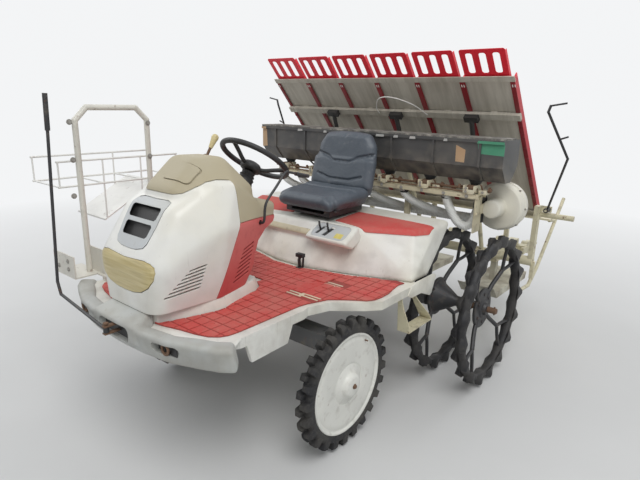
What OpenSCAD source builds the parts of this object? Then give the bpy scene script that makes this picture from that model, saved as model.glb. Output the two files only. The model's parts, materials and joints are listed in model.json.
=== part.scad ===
// Six-row riding rice transplanter with a fertiliser hopper.
// +Z is up, -Y is the front, +X is the machine's left. The rear axle is at Y = 0
// before shift_y moves the whole machine over its own origin.

/* [Running gear] */
// Distance from the rear axle to the front axle
wheelbase = 1020; // [960:5:1100]
// Distance between the centres of the front wheels
front_track = 1211; // [1180:1:1230]
// Distance between the centres of the inner rear wheels
rear_track = 1211; // [1200:1:1224]
// Spacing of the two wheels of a rear pair
twin_gap = 284; // [260:1:300]
// Front wheel diameter over the lugs
front_d = 636; // [610:2:640]
// Width of the front tyre over its lugs
front_w = 72; // [60:1:80]
// Number of lugs on a front tyre
front_lugs = 24; // [16:2:30]
// Rear wheel diameter over the lugs
rear_d = 882; // [850:2:890]
// Width of a rear lug
rear_w = 78; // [60:1:86]
// Number of lugs on a rear wheel
rear_lugs = 17; // [12:1:20]
// Distance from a king pin to its wheel's centre
kingpin_offset = 112; // [106:1:118]
// Diameter of the wheel shafts
shaft_d = 36; // [30:1:40]

/* [Chassis] */
// Outside width over the two frame rails
rail_span = 400; // [380:5:420]
// Width of one rail
rail_w = 60; // [50:1:70]
// Height of one rail
rail_h = 80; // [60:1:90]
// Height of the rails' lower face above the ground
rail_z = 540; // [530:1:550]
// Height of the deck's top face
deck_z = 700; // [690:1:710]
// Thickness of the deck
deck_t = 42; // [30:1:44]
// Thickness of the floor mats
mat_t = 6; // [4:1:10]

/* [Bodywork] */
// Height of the pedestal's top face
pedestal_z = 965; // [950:1:975]
// Number of louvre slots in one side of the bonnet
louvres = 7; // [4:1:8]
// Wall of the plastic covers
cover_t = 10; // [6:1:12]
// Height of the bumper's face
bumper_h = 108; // [90:1:120]
// Diameter of the steering wheel
steer_d = 370; // [340:2:400]
// Diameter of the rack tubes
rack_d = 28; // [22:1:32]

/* [Hopper] */
// Width of the hopper
hopper_w = 1780; // [1700:10:1800]
// Height of the hopper's rim
hopper_z = 1405; // [1395:1:1410]
// Wall of the hopper
hopper_t = 6; // [4:1:8]
// Depth of the lid, front to back
lid_depth = 176; // [150:1:180]

/* [Planting section] */
// Distance from row to row
row_pitch = 300; // [300:1:303]
// Number of rows
rows = 6; // [6:2:6]
// Slope of the seedling table
table_angle = 47.6; // [46:0.2:49]
// Length of the seedling table down its slope
table_len = 1215; // [1150:5:1230]
// How far the table stands to the machine's right at rest
table_shift = 100; // [0:5:120]
// Reach of a planting claw from its rotor's axis
claw_reach = 178; // [160:1:182]
// Length of the lift links between their pins
link_len = 534; // [520:1:540]
// Slope of the lift links at rest
link_angle = 13; // [11:0.5:14]

/* [Hidden] */
$fn = 48;

front_r = front_d / 2;
rear_r = rear_d / 2;
kingpin_x = front_track / 2 - kingpin_offset;
shaft_r = shaft_d / 2;
run = 0.05; // radial running clearance of a shaft in its bore

rail_top = rail_z + rail_h;
rail_x = rail_span / 2;
front_y = -1690; // front end of the rails
rear_y = 90;     // rear end of the rails
bumper_y = -1805; // front of the bumper on the centre line
marker_py = bumper_y - 25; // the centre marker's pin stands before the bumper
marker_hub = 12;
bumper_z = 606;

// the lift's pins: lower pins on the chassis and on the hitch, and the upper pair above them
pin_y = 130;
pin_z = 400;
pin_rise = 190;
hitch_y = pin_y + link_len * cos(link_angle);
hitch_z = pin_z + link_len * sin(link_angle);
link_x = 120;
pin_r = 12;
bumper_back = 100; // from the bumper's face to its back at the horns
bumper_wall = 28;
deck_side = 496; // the deck's half width beside the hood

// the table's top edge, and a frame that runs down its slope
table_y = 190;
table_z = 1728;
rotor_y = hitch_y + 500;
rotor_z = hitch_z + 26;
table_w = rows * row_pitch;
beam_z = hitch_z + 40;
beam_y = hitch_y + 95;
beam_r = 32;
marker_x = 925;
beam_half = 880;
case_x = [for (i = [0 : rows / 2 - 1]) (2 * i - rows / 2 + 1) * row_pitch];
table_rail = 30; // depth of the channel under the table
table_foot_y = table_y + table_len * cos(table_angle);
table_foot_z = table_z - table_len * sin(table_angle);
marker_z = 925;
// a point x across, u down the table's slope and w above it
function on_slope(x, u, w) = [x, table_y + u * cos(table_angle) + w * sin(table_angle),
  table_z - u * sin(table_angle) + w * cos(table_angle)];

// the whole machine's length runs from the centre marker's hub to the claws' tips
shift_y = -(marker_py - marker_hub + rotor_y + claw_reach) / 2;

module frame() translate([0, shift_y, 0]) children();
module both() { children(); mirror([1, 0, 0]) children(); }

// a solid between two points
module rod(a, b, r) {
  d = b - a;
  l = norm(d);
  translate(a) rotate([0, acos(d.z / l), atan2(d.y, d.x)]) cylinder(h = l, r = r);
}

// a round bar along a path, with a bead at each bend
module bent_bar(path, r) {
  for (i = [1 : len(path) - 1]) rod(path[i - 1], path[i], r);
  for (i = [1 : len(path) - 2]) translate(path[i]) sphere(r = r + 0.5);
}

// a side profile of [y, z] points, from x0 to x1
module side(points, x0, x1)
  translate([x0, 0, 0]) rotate([90, 0, 90]) linear_extrude(x1 - x0) polygon(points);

// a plan profile of [x, y] points, from z0 to z1
module plan(points, z0, z1)
  translate([0, 0, z0]) linear_extrude(z1 - z0) polygon(points);

// a box given by its two corners
module block(a, b) translate(a) cube(b - a);

function mirrored(half) = concat(half, [for (i = [len(half) - 1 : -1 : 0]) [-half[i].x, half[i].y]]);

// Running gear

module frame_rails() color("#4a4a48") frame() {
  both() block([rail_x - rail_w, front_y, rail_z], [rail_x, rear_y, rail_top]);
  // cross members: [front face's y, height]
  for (c = [[front_y, rail_h], [-1180, 50], [-700, 50], [-260, rail_h], [rear_y - 60, rail_h]])
    block([-rail_x + rail_w, c[0], rail_top - c[1]], [rail_x - rail_w, c[0] + 60, rail_top]);
  // bumper horns
  both() block([rail_x - rail_w, bumper_y + bumper_back, rail_z + 20], [rail_x, front_y, rail_top]);
  both() block([rail_x - rail_w, bumper_y + bumper_back, rail_top], [rail_x, bumper_y + bumper_back + 12, deck_z - deck_t - 2]);
  // lift ears, one pair for each lower link and one pair for the upper link
  both() difference() {
    for (x = [link_x - 34, link_x + 24])
      block([x, rear_y, pin_z - 30], [x + 10, pin_y + 30, rail_top]);
    translate([0, pin_y, pin_z]) rotate([0, 90, 0]) cylinder(h = 400, r = pin_r + run, center = true);
  }
  difference() {
    for (x = [-38, 28]) block([x, rear_y, rail_z], [x + 10, pin_y + 30, pin_z + pin_rise + 30]);
    translate([0, pin_y, pin_z + pin_rise]) rotate([0, 90, 0])
      cylinder(h = 200, r = pin_r + run, center = true);
  }
  block([-rail_x + rail_w, rear_y - 12, pin_z - 30], [rail_x - rail_w, rear_y, rail_z]);
  // deck posts
  both() for (y = [-1630, -900, -600])
    block([rail_x - 50, y, rail_top], [rail_x - 10, y + 50, deck_z - deck_t]);
}

module engine_block() color("#3b3d3f") frame()
  block([-130, -1600, rail_top - 60], [130, -1240, 1010]);

module front_axle_case() color("#2e2f30") frame() {
  translate([0, -wheelbase, 0]) {
    block([-rail_x + rail_w + 4, -170, 430], [rail_x - rail_w - 4, 160, rail_top - 60]);
    both() {
      difference() {
        union() {
          block([rail_x - rail_w - 4, -45, 452], [kingpin_x, 45, rail_z]);
          translate([kingpin_x, 0, 432]) cylinder(h = rail_z - 432, r = 45);
        }
        translate([kingpin_x, 0, 400]) cylinder(h = 400, r = shaft_r + run);
      }
    }
  }
}

module rear_axle_case() color("#2a2a2a") frame() {
  rotate([0, 90, 0]) translate([-rear_r, 0, 0]) difference() {
    union() {
      cylinder(h = 2 * 500, r = 46, center = true);
      cylinder(h = 200, r = 74, center = true);
      for (s = [-1, 1]) translate([0, 0, s * 470]) cylinder(h = 60, r = 72, center = true);
    }
    for (s = [-1, 1]) translate([0, 0, s * 470]) cylinder(h = 62, r = shaft_r + run, center = true);
  }
  // risers to the rails
  both() block([rail_x - rail_w, -40, rear_r + 40], [rail_x, 40, rail_z]);
}

module knuckle() translate([kingpin_x, -wheelbase, 0]) {
  translate([0, 0, front_r - 50]) cylinder(h = 431 - front_r + 50, r = 44);
  translate([0, 0, 431]) cylinder(h = rail_z - 431 - 4, r = shaft_r);
  translate([0, 0, front_r]) rotate([0, 90, 0]) cylinder(h = kingpin_offset + 14, r = shaft_r);
}
module knuckle_left() color("#2e2f30") frame() knuckle();
module knuckle_right() color("#2e2f30") frame() mirror([1, 0, 0]) knuckle();

// a front tyre round the X axis at the origin
module tyre() {
  rim_r = front_r - 72;
  base_r = front_r - 34;
  rotate([0, 90, 0]) rotate_extrude($fn = 72)
    polygon([[rim_r, -26], [base_r - 10, -30], [base_r, -20], [base_r, 20], [base_r - 10, 30], [rim_r, 26]]);
  for (i = [0 : front_lugs - 1]) rotate([i * 360 / front_lugs, 0, 0]) mirror([i % 2, 0, 0])
    translate([-6, 0, 0]) rotate([90, 0, 90])
      linear_extrude(front_w / 2 + 6) polygon([[-21, base_r - 6], [-12, front_r - 0.3], [12, front_r - 0.3], [21, base_r - 6]]);
}

// a white wheel disc with its hub; +X is the outside
module disc() {
  rim_r = front_r - 72;
  rotate([0, 90, 0]) difference() {
    rotate_extrude($fn = 72) polygon([[0, 30], [0, 60], [46, 60], [62, 52], [70, 32], [96, 26], [100, 20],
      [rim_r - 26, 26], [rim_r - 8, 30], [rim_r, 26], [rim_r, -26], [rim_r - 8, -26], [rim_r - 10, 14],
      [110, 6], [46, 4], [46, -34], [0, -34]]);
    translate([0, 0, -60]) cylinder(h = 60 + 14, r = shaft_r + run);
  }
}
module at_front_wheel() frame() translate([front_track / 2, -wheelbase, front_r]) children();
module tyre_front_left() color("#17181a") at_front_wheel() tyre();
module disc_front_left() color("#dcdcd4") at_front_wheel() disc();
module tyre_front_right() color("#17181a") mirror([1, 0, 0]) at_front_wheel() tyre();
module disc_front_right() color("#dcdcd4") mirror([1, 0, 0]) at_front_wheel() disc();

// one lugged rear wheel round the X axis at the origin
spokes = 4;
hub_in = 51; // how far the hub plate stands inside the ring
module lug_wheel() {
  rim_r = rear_r - 62;
  rotate([0, 90, 0]) rotate_extrude($fn = 72)
    polygon([[rim_r - 12, -12], [rim_r + 14, -15], [rim_r + 20, 0], [rim_r + 14, 15], [rim_r - 12, 12]]);
  // cleats, with a wave to the left and to the right in turn
  for (i = [0 : rear_lugs - 1]) rotate([i * 360 / rear_lugs, 0, 0]) {
    translate([-rear_w / 2, 0, 0]) rotate([90, 0, 90]) linear_extrude(rear_w)
      polygon([[-36, rim_r + 2], [-26, rim_r + 14], [-12, rear_r - 6], [0, rear_r - 0.5], [12, rear_r - 6], [26, rim_r + 14], [36, rim_r + 2]]);
    for (s = [-1, 1]) rotate([s * 90 / rear_lugs, 0, 0]) translate([s * rear_w / 4 - rear_w / 4, 0, 0])
      rotate([90, 0, 90]) linear_extrude(rear_w / 2) polygon([[-22, rim_r + 2], [-12, rim_r - 26], [12, rim_r - 26], [22, rim_r + 2]]);
  }
  // round spokes, forked where they meet the ring
  for (i = [0 : spokes - 1]) rotate([i * 360 / spokes - 49, 0, 0]) {
    fork = [-hub_in / 3, 0, rim_r * 0.68];
    rod([-hub_in, 0, 80], fork, 13);
    translate(fork) sphere(r = 14);
    for (s = [-1, 1]) rod(fork, [0, s * rim_r * sin(15), rim_r * cos(15) - 4], 10);
  }
  translate([-hub_in, 0, 0]) rotate([0, 90, 0]) {
    cylinder(h = 12, r = 118, center = true);
    cylinder(h = 70, r = 34, center = true);
  }
}
stub = 38; // how far the shaft stands out of the outer wheel
module rear_pair() color("#1b1c1e") frame() translate([0, 0, rear_r]) {
  for (x = [0, twin_gap]) translate([rear_track / 2 + x, 0, 0]) lug_wheel();
  // the cone that carries the inner wheel
  translate([rear_track / 2 - hub_in, 0, 0]) rotate([0, 90, 0]) cylinder(h = 130, r1 = 104, r2 = 28);
  difference() {
    translate([442, 0, 0]) rotate([0, 90, 0]) cylinder(h = rear_track / 2 + twin_gap + stub - 442, r = shaft_r);
    translate([rear_track / 2 + twin_gap + stub - 14, 0, 0]) cylinder(h = 100, r = 5, center = true);
  }
}
module rear_wheels_left() rear_pair();
module rear_wheels_right() mirror([1, 0, 0]) rear_pair();

// Front bodywork

// the whole hood's corners on its left side: [x, y, z, radius]
hood_corners = [
  [80, -1662, 700, 58], [95, -1672, 985, 62], [104, -1590, 700, 56], [160, -1585, 1000, 62],
  [120, -1545, 1125, 58], [160, -1420, 700, 42], [212, -1420, 1075, 58], [150, -1430, 1225, 52],
  [92, -1400, 1296, 50], [92, -1290, 1288, 50], [112, -1052, 1148, 40], [150, -1070, 1080, 40], [104, -1180, 700, 40]];
hood_z = 752; // the hood's lower edge
module hood_form(inset) hull() for (c = hood_corners, s = [-1, 1])
  translate([s * c.x, c.y, c.z]) sphere(r = c[3] - inset, $fn = 28);
module hood_shell(outer, inner) difference() { hood_form(outer); hood_form(inner); }

seam = 3; // half the gap between two covers
bonnet_rear = -1392;
cover_low = 1086;
// side view of what the top cover takes of the hood, grown by g
module cover_zone(g) side([[-1800, 1236 - g], [-1560, 1236 - g], [bonnet_rear - 40 - g, 1262 - g], [bonnet_rear - g, cover_low + 60],
  [bonnet_rear - g, cover_low - g], [-900, cover_low - 30 - g], [-900, 1500], [-1800, 1500]], -400, 400);
// side view of the red panels' zone, grown by g
module panel_zone(g) side([[bonnet_rear - g, hood_z], [bonnet_rear - g, cover_low + g], [-1010, cover_low + 30 + g], [-1010, 1040],
  [-1105, 930], [-1128, 850], [-1128, hood_z]], -400, 400);
// front view of the lamp's opening, grown by g
module lamp_zone(g) translate([0, -1560, 0]) rotate([90, 0, 0]) linear_extrude(300)
  polygon([[-146 - g, 950 + g], [-150 - g, 900], [-128 - g, 850 - g], [-90, 830 - g], [90, 830 - g],
    [128 + g, 850 - g], [150 + g, 900], [146 + g, 950 + g]]);
// front view of the grille's opening, grown by g
module grille_zone(g) translate([0, -1480, 0]) rotate([90, 0, 0]) linear_extrude(400)
  polygon([[-88 - g, 1206 + g], [-74 - g, 1020 - g], [-50, 1004 - g], [50, 1004 - g], [74 + g, 1020 - g], [88 + g, 1206 + g]]);
// a piece that fills an opening of the hood and holds on to its back
module hood_insert(face) difference() {
  union() {
    intersection() { hood_form(face); children(0); }
    intersection() { hood_form(cover_t + 0.3); children(1); }
  }
  hood_form(cover_t + 6);
}

module bonnet() color("#e3e2da") frame() difference() {
  hood_shell(0, cover_t);
  block([-400, -2000, 0], [400, -900, hood_z]);
  block([-400, bonnet_rear - seam, 0], [400, -900, 1500]);
  cover_zone(seam);
  lamp_zone(0);
  grille_zone(0);
  // side louvres
  both() for (i = [0 : louvres - 1]) translate([100, -1560 + i * 10, 775 + i * 17])
    rotate([8, 0, 0]) block([0, 0, 0], [200, 105, 7]);
}
module headlamp() color("#c9bd84") frame() hood_insert(1) { lamp_zone(-2); lamp_zone(12); }
module grille() color("#8d9092") frame() difference() {
  hood_insert(2) { grille_zone(-2); grille_zone(12); }
  // two air openings: [z, half width at the foot]
  for (o = [[1050, 58], [1122, 66]]) translate([0, -1480, o[0]]) rotate([90, 0, 0]) linear_extrude(400)
    polygon([[-o[1], 0], [o[1], 0], [o[1] + 4, 46], [-o[1] - 4, 46]]);
}
module top_cover() color("#b9ad93") frame() difference() {
  union() {
    hood_insert(0) { cover_zone(0); cover_zone(12); }
    filler() block([-lid_w / 2 - 3, -lid_l / 2 - 3, -cover_t], [lid_w / 2 + 3, lid_l / 2 + 3, lid_up]);
  }
  on_column() translate([0, 0, -260]) cylinder(h = 400, r = 44);
  // the filler's pocket, with its cap
  filler() difference() {
    translate([0, 0, 3 - cover_t]) cylinder(h = 40, r = 36);
    translate([0, 0, 2 - cover_t]) cylinder(h = cover_t, r = 27);
  }
}
lid_w = 124;
lid_l = 92;
lid_up = 3; // the filler's boss stands this much over the cover
module filler() translate([56, -1477, 1288]) rotate([48, 0, 0]) children();
module fuel_lid() color("#b3a78d") frame() filler()
  block([-lid_w / 2, -lid_l / 2, lid_up + 0.3], [lid_w / 2, lid_l / 2, lid_up + 9]);

module side_panels() color("#c24a4c") frame() difference() {
  intersection() {
    hood_shell(0, cover_t);
    panel_zone(-seam);
    both() block([40, -1400, hood_z], [400, -1000, 1200]);
  }
  cover_zone(seam);
  // louvres
  both() for (i = [0 : louvres]) translate([100, -1330 + i * 6, 790 + i * 20])
    rotate([14, 0, 0]) block([0, 0, 0], [200, 90, 8]);
  // the long lever's hole
  translate([100, lever_pivot[0], lever_pivot[1]]) rotate([0, 90, 0]) cylinder(h = 200, r = 12);
}

// Bumper and centre marker

bumper_line = [[0, 0], [100, 2], [200, 9], [330, 29], [440, 70], [520, 105], [566, 140], [575, 165]];
function bumper_out(g) = [for (p = bumper_line) [max(0, p.x - (p.x > 400 ? g : 0)), bumper_y + p.y + g]];
// a curved wall behind the bumper's face, from z0 to z1, set back by g
module bumper_ring(g, wall, z0, z1) difference() {
  plan(mirrored(concat(bumper_out(g), [[520, bumper_y + 195], [0, bumper_y + 195]])), z0, z1);
  plan(mirrored(concat(bumper_out(g + wall), [[470, bumper_y + 300], [0, bumper_y + 300]])), z0 - 1, z1 + 1);
}
hook_x = 306;
hook_z = bumper_z + 62;
swing_z = bumper_z + 70;
module bumper() color("#9a9c9a") frame() {
  difference() {
    union() {
      bumper_ring(24, bumper_wall, bumper_z, bumper_z + 12);
      bumper_ring(8, bumper_wall + 10, bumper_z + 12, bumper_z + 26);
      bumper_ring(0, bumper_wall + 10, bumper_z + 26, bumper_z + bumper_h - 14);
      bumper_ring(6, bumper_wall, bumper_z + bumper_h - 14, bumper_z + bumper_h);
      // the lower shelf back to the horns
      plan(mirrored([[0, bumper_y + 30], [rail_x + 30, bumper_y + 44], [rail_x + 10, bumper_y + bumper_back], [0, bumper_y + bumper_back]]),
        bumper_z, bumper_z + 40);
      // the nose rises from the bumper to the hood
      intersection() {
        side([[bumper_y + 6, bumper_z + bumper_h - 14], [bumper_y + 14, bumper_z + bumper_h], [-1724, hood_z], [-1703, hood_z],
          [-1719, bumper_z + bumper_h - 14]], -200, 200);
        plan(mirrored([[0, bumper_y], [175, bumper_y + 7], [150, bumper_y + 60], [130, -1716], [130, -1690], [0, -1690]]), 600, 800);
      }
    }
    // pockets for the two hooks, and the marker's pocket
    both() hull() for (x = [hook_x - 75, hook_x + 75])
      translate([x, bumper_y + 50, hook_z]) rotate([90, 0, 0]) cylinder(h = 100, r = 20, $fn = 32);
    hull() for (x = [-120, 120])
      translate([x, bumper_y + 26, swing_z - 4]) rotate([90, 0, 0]) cylinder(h = 100, r = 30, $fn = 32);
  }
  // towing hooks
  both() translate([hook_x, bumper_y + 41, hook_z]) rotate_extrude() translate([20, 0]) circle(r = 5.5);
  // the marker's pin between its lugs
  translate([0, marker_py, swing_z]) {
    cylinder(h = 44, r = 6, center = true);
    for (z = [-19, 12]) block([-11, -11, z], [11, 62, z + 7]);
  }
}
swing_r = 7;
swing_out = [-515, 55]; // from the pin to the elbow
module centre_marker() color("#1e1e1e") frame() translate([0, marker_py, 0]) {
  difference() {
    union() {
      translate([0, 0, swing_z - 11]) cylinder(h = 22, r = marker_hub);
      bent_bar([[0, 0, swing_z], [swing_out.x, swing_out.y, swing_z], [swing_out.x - 30, swing_out.y + 3, swing_z + 55],
        [swing_out.x - 36, swing_out.y + 40, 1440]], swing_r);
      rod([swing_out.x - 36, swing_out.y + 40, 1430], [swing_out.x - 37, swing_out.y + 46, 1590], 11);
    }
    translate([0, 0, swing_z - 20]) cylinder(h = 40, r = 6 + run);
  }
}
// Deck, mats, pedestal

deck_half = [[0, -1712], [90, -1707], [260, -1682], [400, -1655], [470, -1610], [deck_side, -1549], [deck_side, -1185],
  [484, -1150], [520, -1040], [640, -935], [695, -868], [695, -600], [676, -530], [0, -530]];
plinth_top = [[0, -1700], [118, -1700], [140, -1690], [172, -1600], [213, -1450], [213, -1395], [158, -1170], [122, -1128], [0, -1128]];
plinth_foot = [[0, -1704], [128, -1704], [154, -1692], [188, -1600], [229, -1450], [229, -1395], [176, -1166], [132, -1112], [0, -1112]];
column_hole = [50, -1210, -1100]; // half width, front and rear
module deck() color("#e3e2da") frame() difference() {
  union() {
    plan(mirrored(deck_half), deck_z - deck_t, deck_z);
    // the ledge that carries the hood
    hull() {
      plan(mirrored(plinth_foot), deck_z, deck_z + 1);
      plan(mirrored(plinth_top), hood_z - 1, hood_z);
    }
    // the skirts before the front wheels
    both() side([[-1525, deck_z - deck_t], [-1498, 576], [-1292, 582], [-1262, deck_z - deck_t]], deck_side - 16, deck_side);
  }
  plan(mirrored([[0, -1650], [112, -1650], [140, -1612], [170, -1450], [170, -1395], [140, -1228], [90, -1165], [0, -1165]]), deck_z - 80, 900);
  block([-column_hole[0], column_hole[1], 600], [column_hole[0], column_hole[2], 900]);
}
mat_half = [[126, -1690], [260, -1664], [400, -1636], [448, -1585], [460, -1540], [460, -1165], [504, -1018], [628, -916],
  [672, -858], [666, -760], [652, -584], [366, -698], [95, -774], [95, -1090], [148, -1118], [194, -1289]];
module deck_mats() color("#c5393c") frame() {
  both() difference() {
    plan(mat_half, deck_z, deck_z + mat_t);
    hull() {
      plan(mirrored([for (p = plinth_foot) [p.x + 14, p.y]]), deck_z - 1, deck_z + 20);
    }
  }
  plan([[-91, -1040], [91, -1040], [91, -774], [-91, -774]], deck_z, deck_z + mat_t);
}

pedestal_foot = [[100, -765], [366, -690], [676, -560], [676, -380]];
pedestal_top = [[110, -620, -24], [350, -580, -24], [612, -440, -20], [664, -340, -12], [664, -150, 0]];
module pedestal_form(inset) hull() {
  plan(mirrored([for (p = pedestal_foot) [p.x - inset, p.y + inset]]), deck_z, deck_z + 1);
  for (p = pedestal_top, s = [-1, 1])
    translate([s * (p.x - inset), p.y + inset, pedestal_z - inset + p.z - 1]) cylinder(h = 1, r = 1, $fn = 6);
}
module rear_cover() color("#e3e2da") frame() {
  difference() {
    pedestal_form(0);
    pedestal_form(cover_t);
    // open at the back and below
    hull() for (y = [0, 60]) translate([0, y, 0]) intersection() {
      pedestal_form(cover_t);
      block([-700, -420, deck_z - 10], [700, 0, pedestal_z - cover_t]);
    }
  }
  // the fenders' sides reach below the deck before the rear wheels
  both() side([[-640, deck_z - deck_t], [-600, 640], [-500, 638], [-402, 598], [-384, 606], [-345, 700], [-378, deck_z], [-560, deck_z],
    [-600, deck_z - deck_t]], 697, 707);
}
module control_panel() color("#9aa0a3") frame() difference() {
  side([[-560, pedestal_z - 18], [-612, pedestal_z - 16], [-742, 872], [-750, 858], [-744, 812], [-600, 812], [-560, 860]], 110, 345);
  pedestal_form(-0.3);
  // lever slots
  for (x = [215, 262]) translate([x, -650, 925]) rotate([35, 0, 0]) block([-7, -48, -12], [7, 40, 40]);
}
module seat_base() color("#1c1d1f") frame() difference() {
  union() {
    side([[-600, pedestal_z + 2], [-600, pedestal_z + 40], [-290, pedestal_z + 40], [-290, pedestal_z + 2]], -160, 160);
    for (x = [-130, 70]) block([x, -560, pedestal_z - 14], [x + 60, -300, pedestal_z + 10]);
  }
  pedestal_form(-0.3);
  block([-120, -620, pedestal_z + 14], [120, -250, pedestal_z + 32]);
}
seat_z = pedestal_z + 40;
module seat() color("#3a4049") frame() {
  hull() {
    for (s = [-1, 1]) {
      translate([s * 170, -620, seat_z + 44.3]) sphere(r = 44, $fn = 32);
      translate([s * 180, -300, seat_z + 44.3]) sphere(r = 44, $fn = 32);
    }
  }
  hull() {
    for (s = [-1, 1]) {
      translate([s * 185, -285, seat_z + 70]) sphere(r = 36, $fn = 32);
      translate([s * 140, -222, seat_z + 385]) sphere(r = 30, $fn = 32);
      translate([s * 190, -250, seat_z + 250]) sphere(r = 32, $fn = 32);
    }
  }
}

// Steering and controls

steer_tilt = 35; // the column leans this far back from upright
steer_at = [0, -1030, 1262];
module on_column() translate(steer_at) rotate([-steer_tilt, 0, 0]) children();
module steering_column() color("#202020") frame() difference() {
  union() {
  on_column() {
    translate([0, 0, -260]) cylinder(h = 244, r = 26);
    translate([0, 0, -60]) cylinder(h = 44, r = 36);
  }
  block([-30, -1176, rail_top], [30, -1124, 1100]);
  }
  on_column() translate([0, 0, -120]) cylinder(h = 200, r = 10 + run);
}
module steering_wheel() color("#1a1a1b") frame() on_column() {
  rotate_extrude($fn = 72) translate([steer_d / 2 - 15, 0]) circle(r = 15, $fn = 32);
  translate([0, 0, -15]) cylinder(h = 26, r = 52);
  translate([0, 0, -110]) cylinder(h = 100, r = 10);
  for (a = [30, 150, 270]) rotate([0, 0, a])
    rod([40, 0, -2], [steer_d / 2 - 20, 0, 0], 9);
}
// a long lever beside the cover, and the short one on top of it with its knob
lever_x = 222;
lever_pivot = [-1162, 1040]; // y and z where it enters the red panel
module levers() color("#1c1c1d") frame() {
  bent_bar([[30.3, lever_pivot[0], lever_pivot[1]], [lever_x, lever_pivot[0], lever_pivot[1]], [lever_x, -1147, 1137],
    [lever_x, -1082, 1198], [lever_x, -1016, 1261], [lever_x, -866, 1228]], 6);
  rod([lever_x, -950, 1246.5], [lever_x, -858, 1226.2], 9);
  // the cover's top slopes 32.5 degrees here
  translate([-60, -1252, 1323.6]) rotate([-32.5, 0, 0]) {
    cylinder(h = 6, r = 16);
    cylinder(h = 62, r = 6);
    translate([0, 0, 56]) cylinder(h = 44, r1 = 9, r2 = 15);
    translate([0, 0, 100]) sphere(r = 15.5);
  }
}
module pedals() color("#242424") frame() {
  translate([300, -880, deck_z + mat_t]) block([0, 0, 0], [60, 90, 30]);
}

// Spare seedling rack on the machine's right

rack_x = -600;
rack_y = [-1588, -1210];
rack_top = 1530;
rack_bend = 60;
rack_foot = deck_z + 20; // lower face of the front post's bracket
module rack_posts() color("#dedcd4") frame() {
  bent_bar([[rack_x, rack_y[0], rack_foot + 3], [rack_x, rack_y[0], rack_top - rack_bend],
    [rack_x, rack_y[0] + rack_bend, rack_top], [rack_x, rack_y[1] - rack_bend, rack_top],
    [rack_x, rack_y[1], rack_top - rack_bend], [rack_x, rack_y[1], deck_z - 34]], rack_d / 2);
  block([rack_x - 24, rack_y[1] - 20, deck_z - 36], [-deck_side, rack_y[1] + 20, deck_z - 4]);
  // the front post's folded bracket
  block([-752, -1690, rack_foot], [-540, -1684, rack_foot + 112]);
  block([-640, -1562, rack_foot], [-460, -1556, rack_foot + 130]);
  block([-752, -1690, rack_foot], [-540, -1556, rack_foot + 6]);
  block([-540, -1580, rack_foot], [-460, -1556, rack_foot + 6]);
  block([-488, -1580, deck_z], [-464, -1556, rack_foot]);
}
wire_r = 5;
stay_r = 4;
wire_x = [rack_x - rack_d / 2 - wire_r - 0.3, rack_x - 300];
wire_y = [-1680, -1460, -1250, -1030];

shelf = [[-1474, 968], [-1474, 976], [-1166, 1146], [-1166, 1138]];
module wire_rack() color("#e6e6e2") frame() {
  for (x = wire_x, z = [1160, 1280])
    rod([x, wire_y[0] - 8, z], [x, wire_y[3] + 8, z], wire_r);
  for (y = wire_y, x = wire_x)
    rod([x, y, y == wire_y[1] ? 976 : y == wire_y[2] ? 1094 : 1160], [x, y, 1280], stay_r);
  for (y = wire_y)
    rod([wire_x[0], y, 1160], [wire_x[1], y, 1160], stay_r);
  // the sloping plate under the basket
  side(shelf, rack_x - 306, rack_x - rack_d / 2 - 0.6);
}
step_x = [655, 722];
step_holes = [-566, -513, -460]; // the holes' places along Y
step_hole_d = 13;
step_z = 466;
module step_brackets() color("#d5cfa8") frame() both() difference() {
  under = deck_z - deck_t;
  side([[-662, under], [-645, step_z], [-402, step_z], [-546, under], [-554, under], [-412, step_z + 6], [-639, step_z + 6], [-656, under]],
    step_x[0], step_x[1]);
  // the walls narrow towards the deck
  translate([0, -800, 0]) rotate([-90, 0, 0]) linear_extrude(500)
    polygon([[step_x[1] + 1, -500], [step_x[1] + 1, -700], [680, -700], [680, -630], [690, -590]]);
  for (y = step_holes) translate([690, y, step_z - 10]) cylinder(h = 40, r = step_hole_d / 2);
}

// Fertiliser hopper and blower

hopper_front = -85; // front edge of the rim
hopper_rear = 160;
hopper_wall = hopper_front + 12; // the front wall's face
module hopper() color("#3d3a38") frame() difference() {
  union() {
    side([[hopper_wall, hopper_z], [hopper_wall, 1260], [0, 1175], [75, 1175], [hopper_rear, 1260],
      [hopper_rear, hopper_z]], -hopper_w / 2, hopper_w / 2);
    // the rim and the ribs
    block([-hopper_w / 2, hopper_front, hopper_z - 16], [hopper_w / 2, hopper_wall, hopper_z]);
    for (x = [-760, -484, -207, 207, 484, 760])
      side([[hopper_front + 3, hopper_z - 16], [hopper_front + 3, 1258], [-8, 1175], [0, 1175], [0, 1200], [hopper_wall + 2, 1262],
        [hopper_wall + 2, hopper_z - 16]], x - 7, x + 7);
  }
  side([[hopper_wall + hopper_t, hopper_z + 1], [hopper_wall + hopper_t, 1263], [5, 1181], [70, 1181],
    [hopper_rear - hopper_t, 1263], [hopper_rear - hopper_t, hopper_z - hopper_t],
    [hopper_front + lid_depth - 20, hopper_z - hopper_t], [hopper_front + lid_depth - 20, hopper_z + 1]],
    -hopper_w / 2 + hopper_t, hopper_w / 2 - hopper_t);
}
module hopper_lid() color("#56534f") frame()
  block([-hopper_w / 2, hopper_front, hopper_z + 0.3], [hopper_w / 2, hopper_front + lid_depth, hopper_z + 9]);
bar_y = [-52, 60];
bar_z = 1078;
bar_t = 25;
unit_pitch = 284;
unit_half = 31;
blow_x = 800;
blow_z = 1010;
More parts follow.
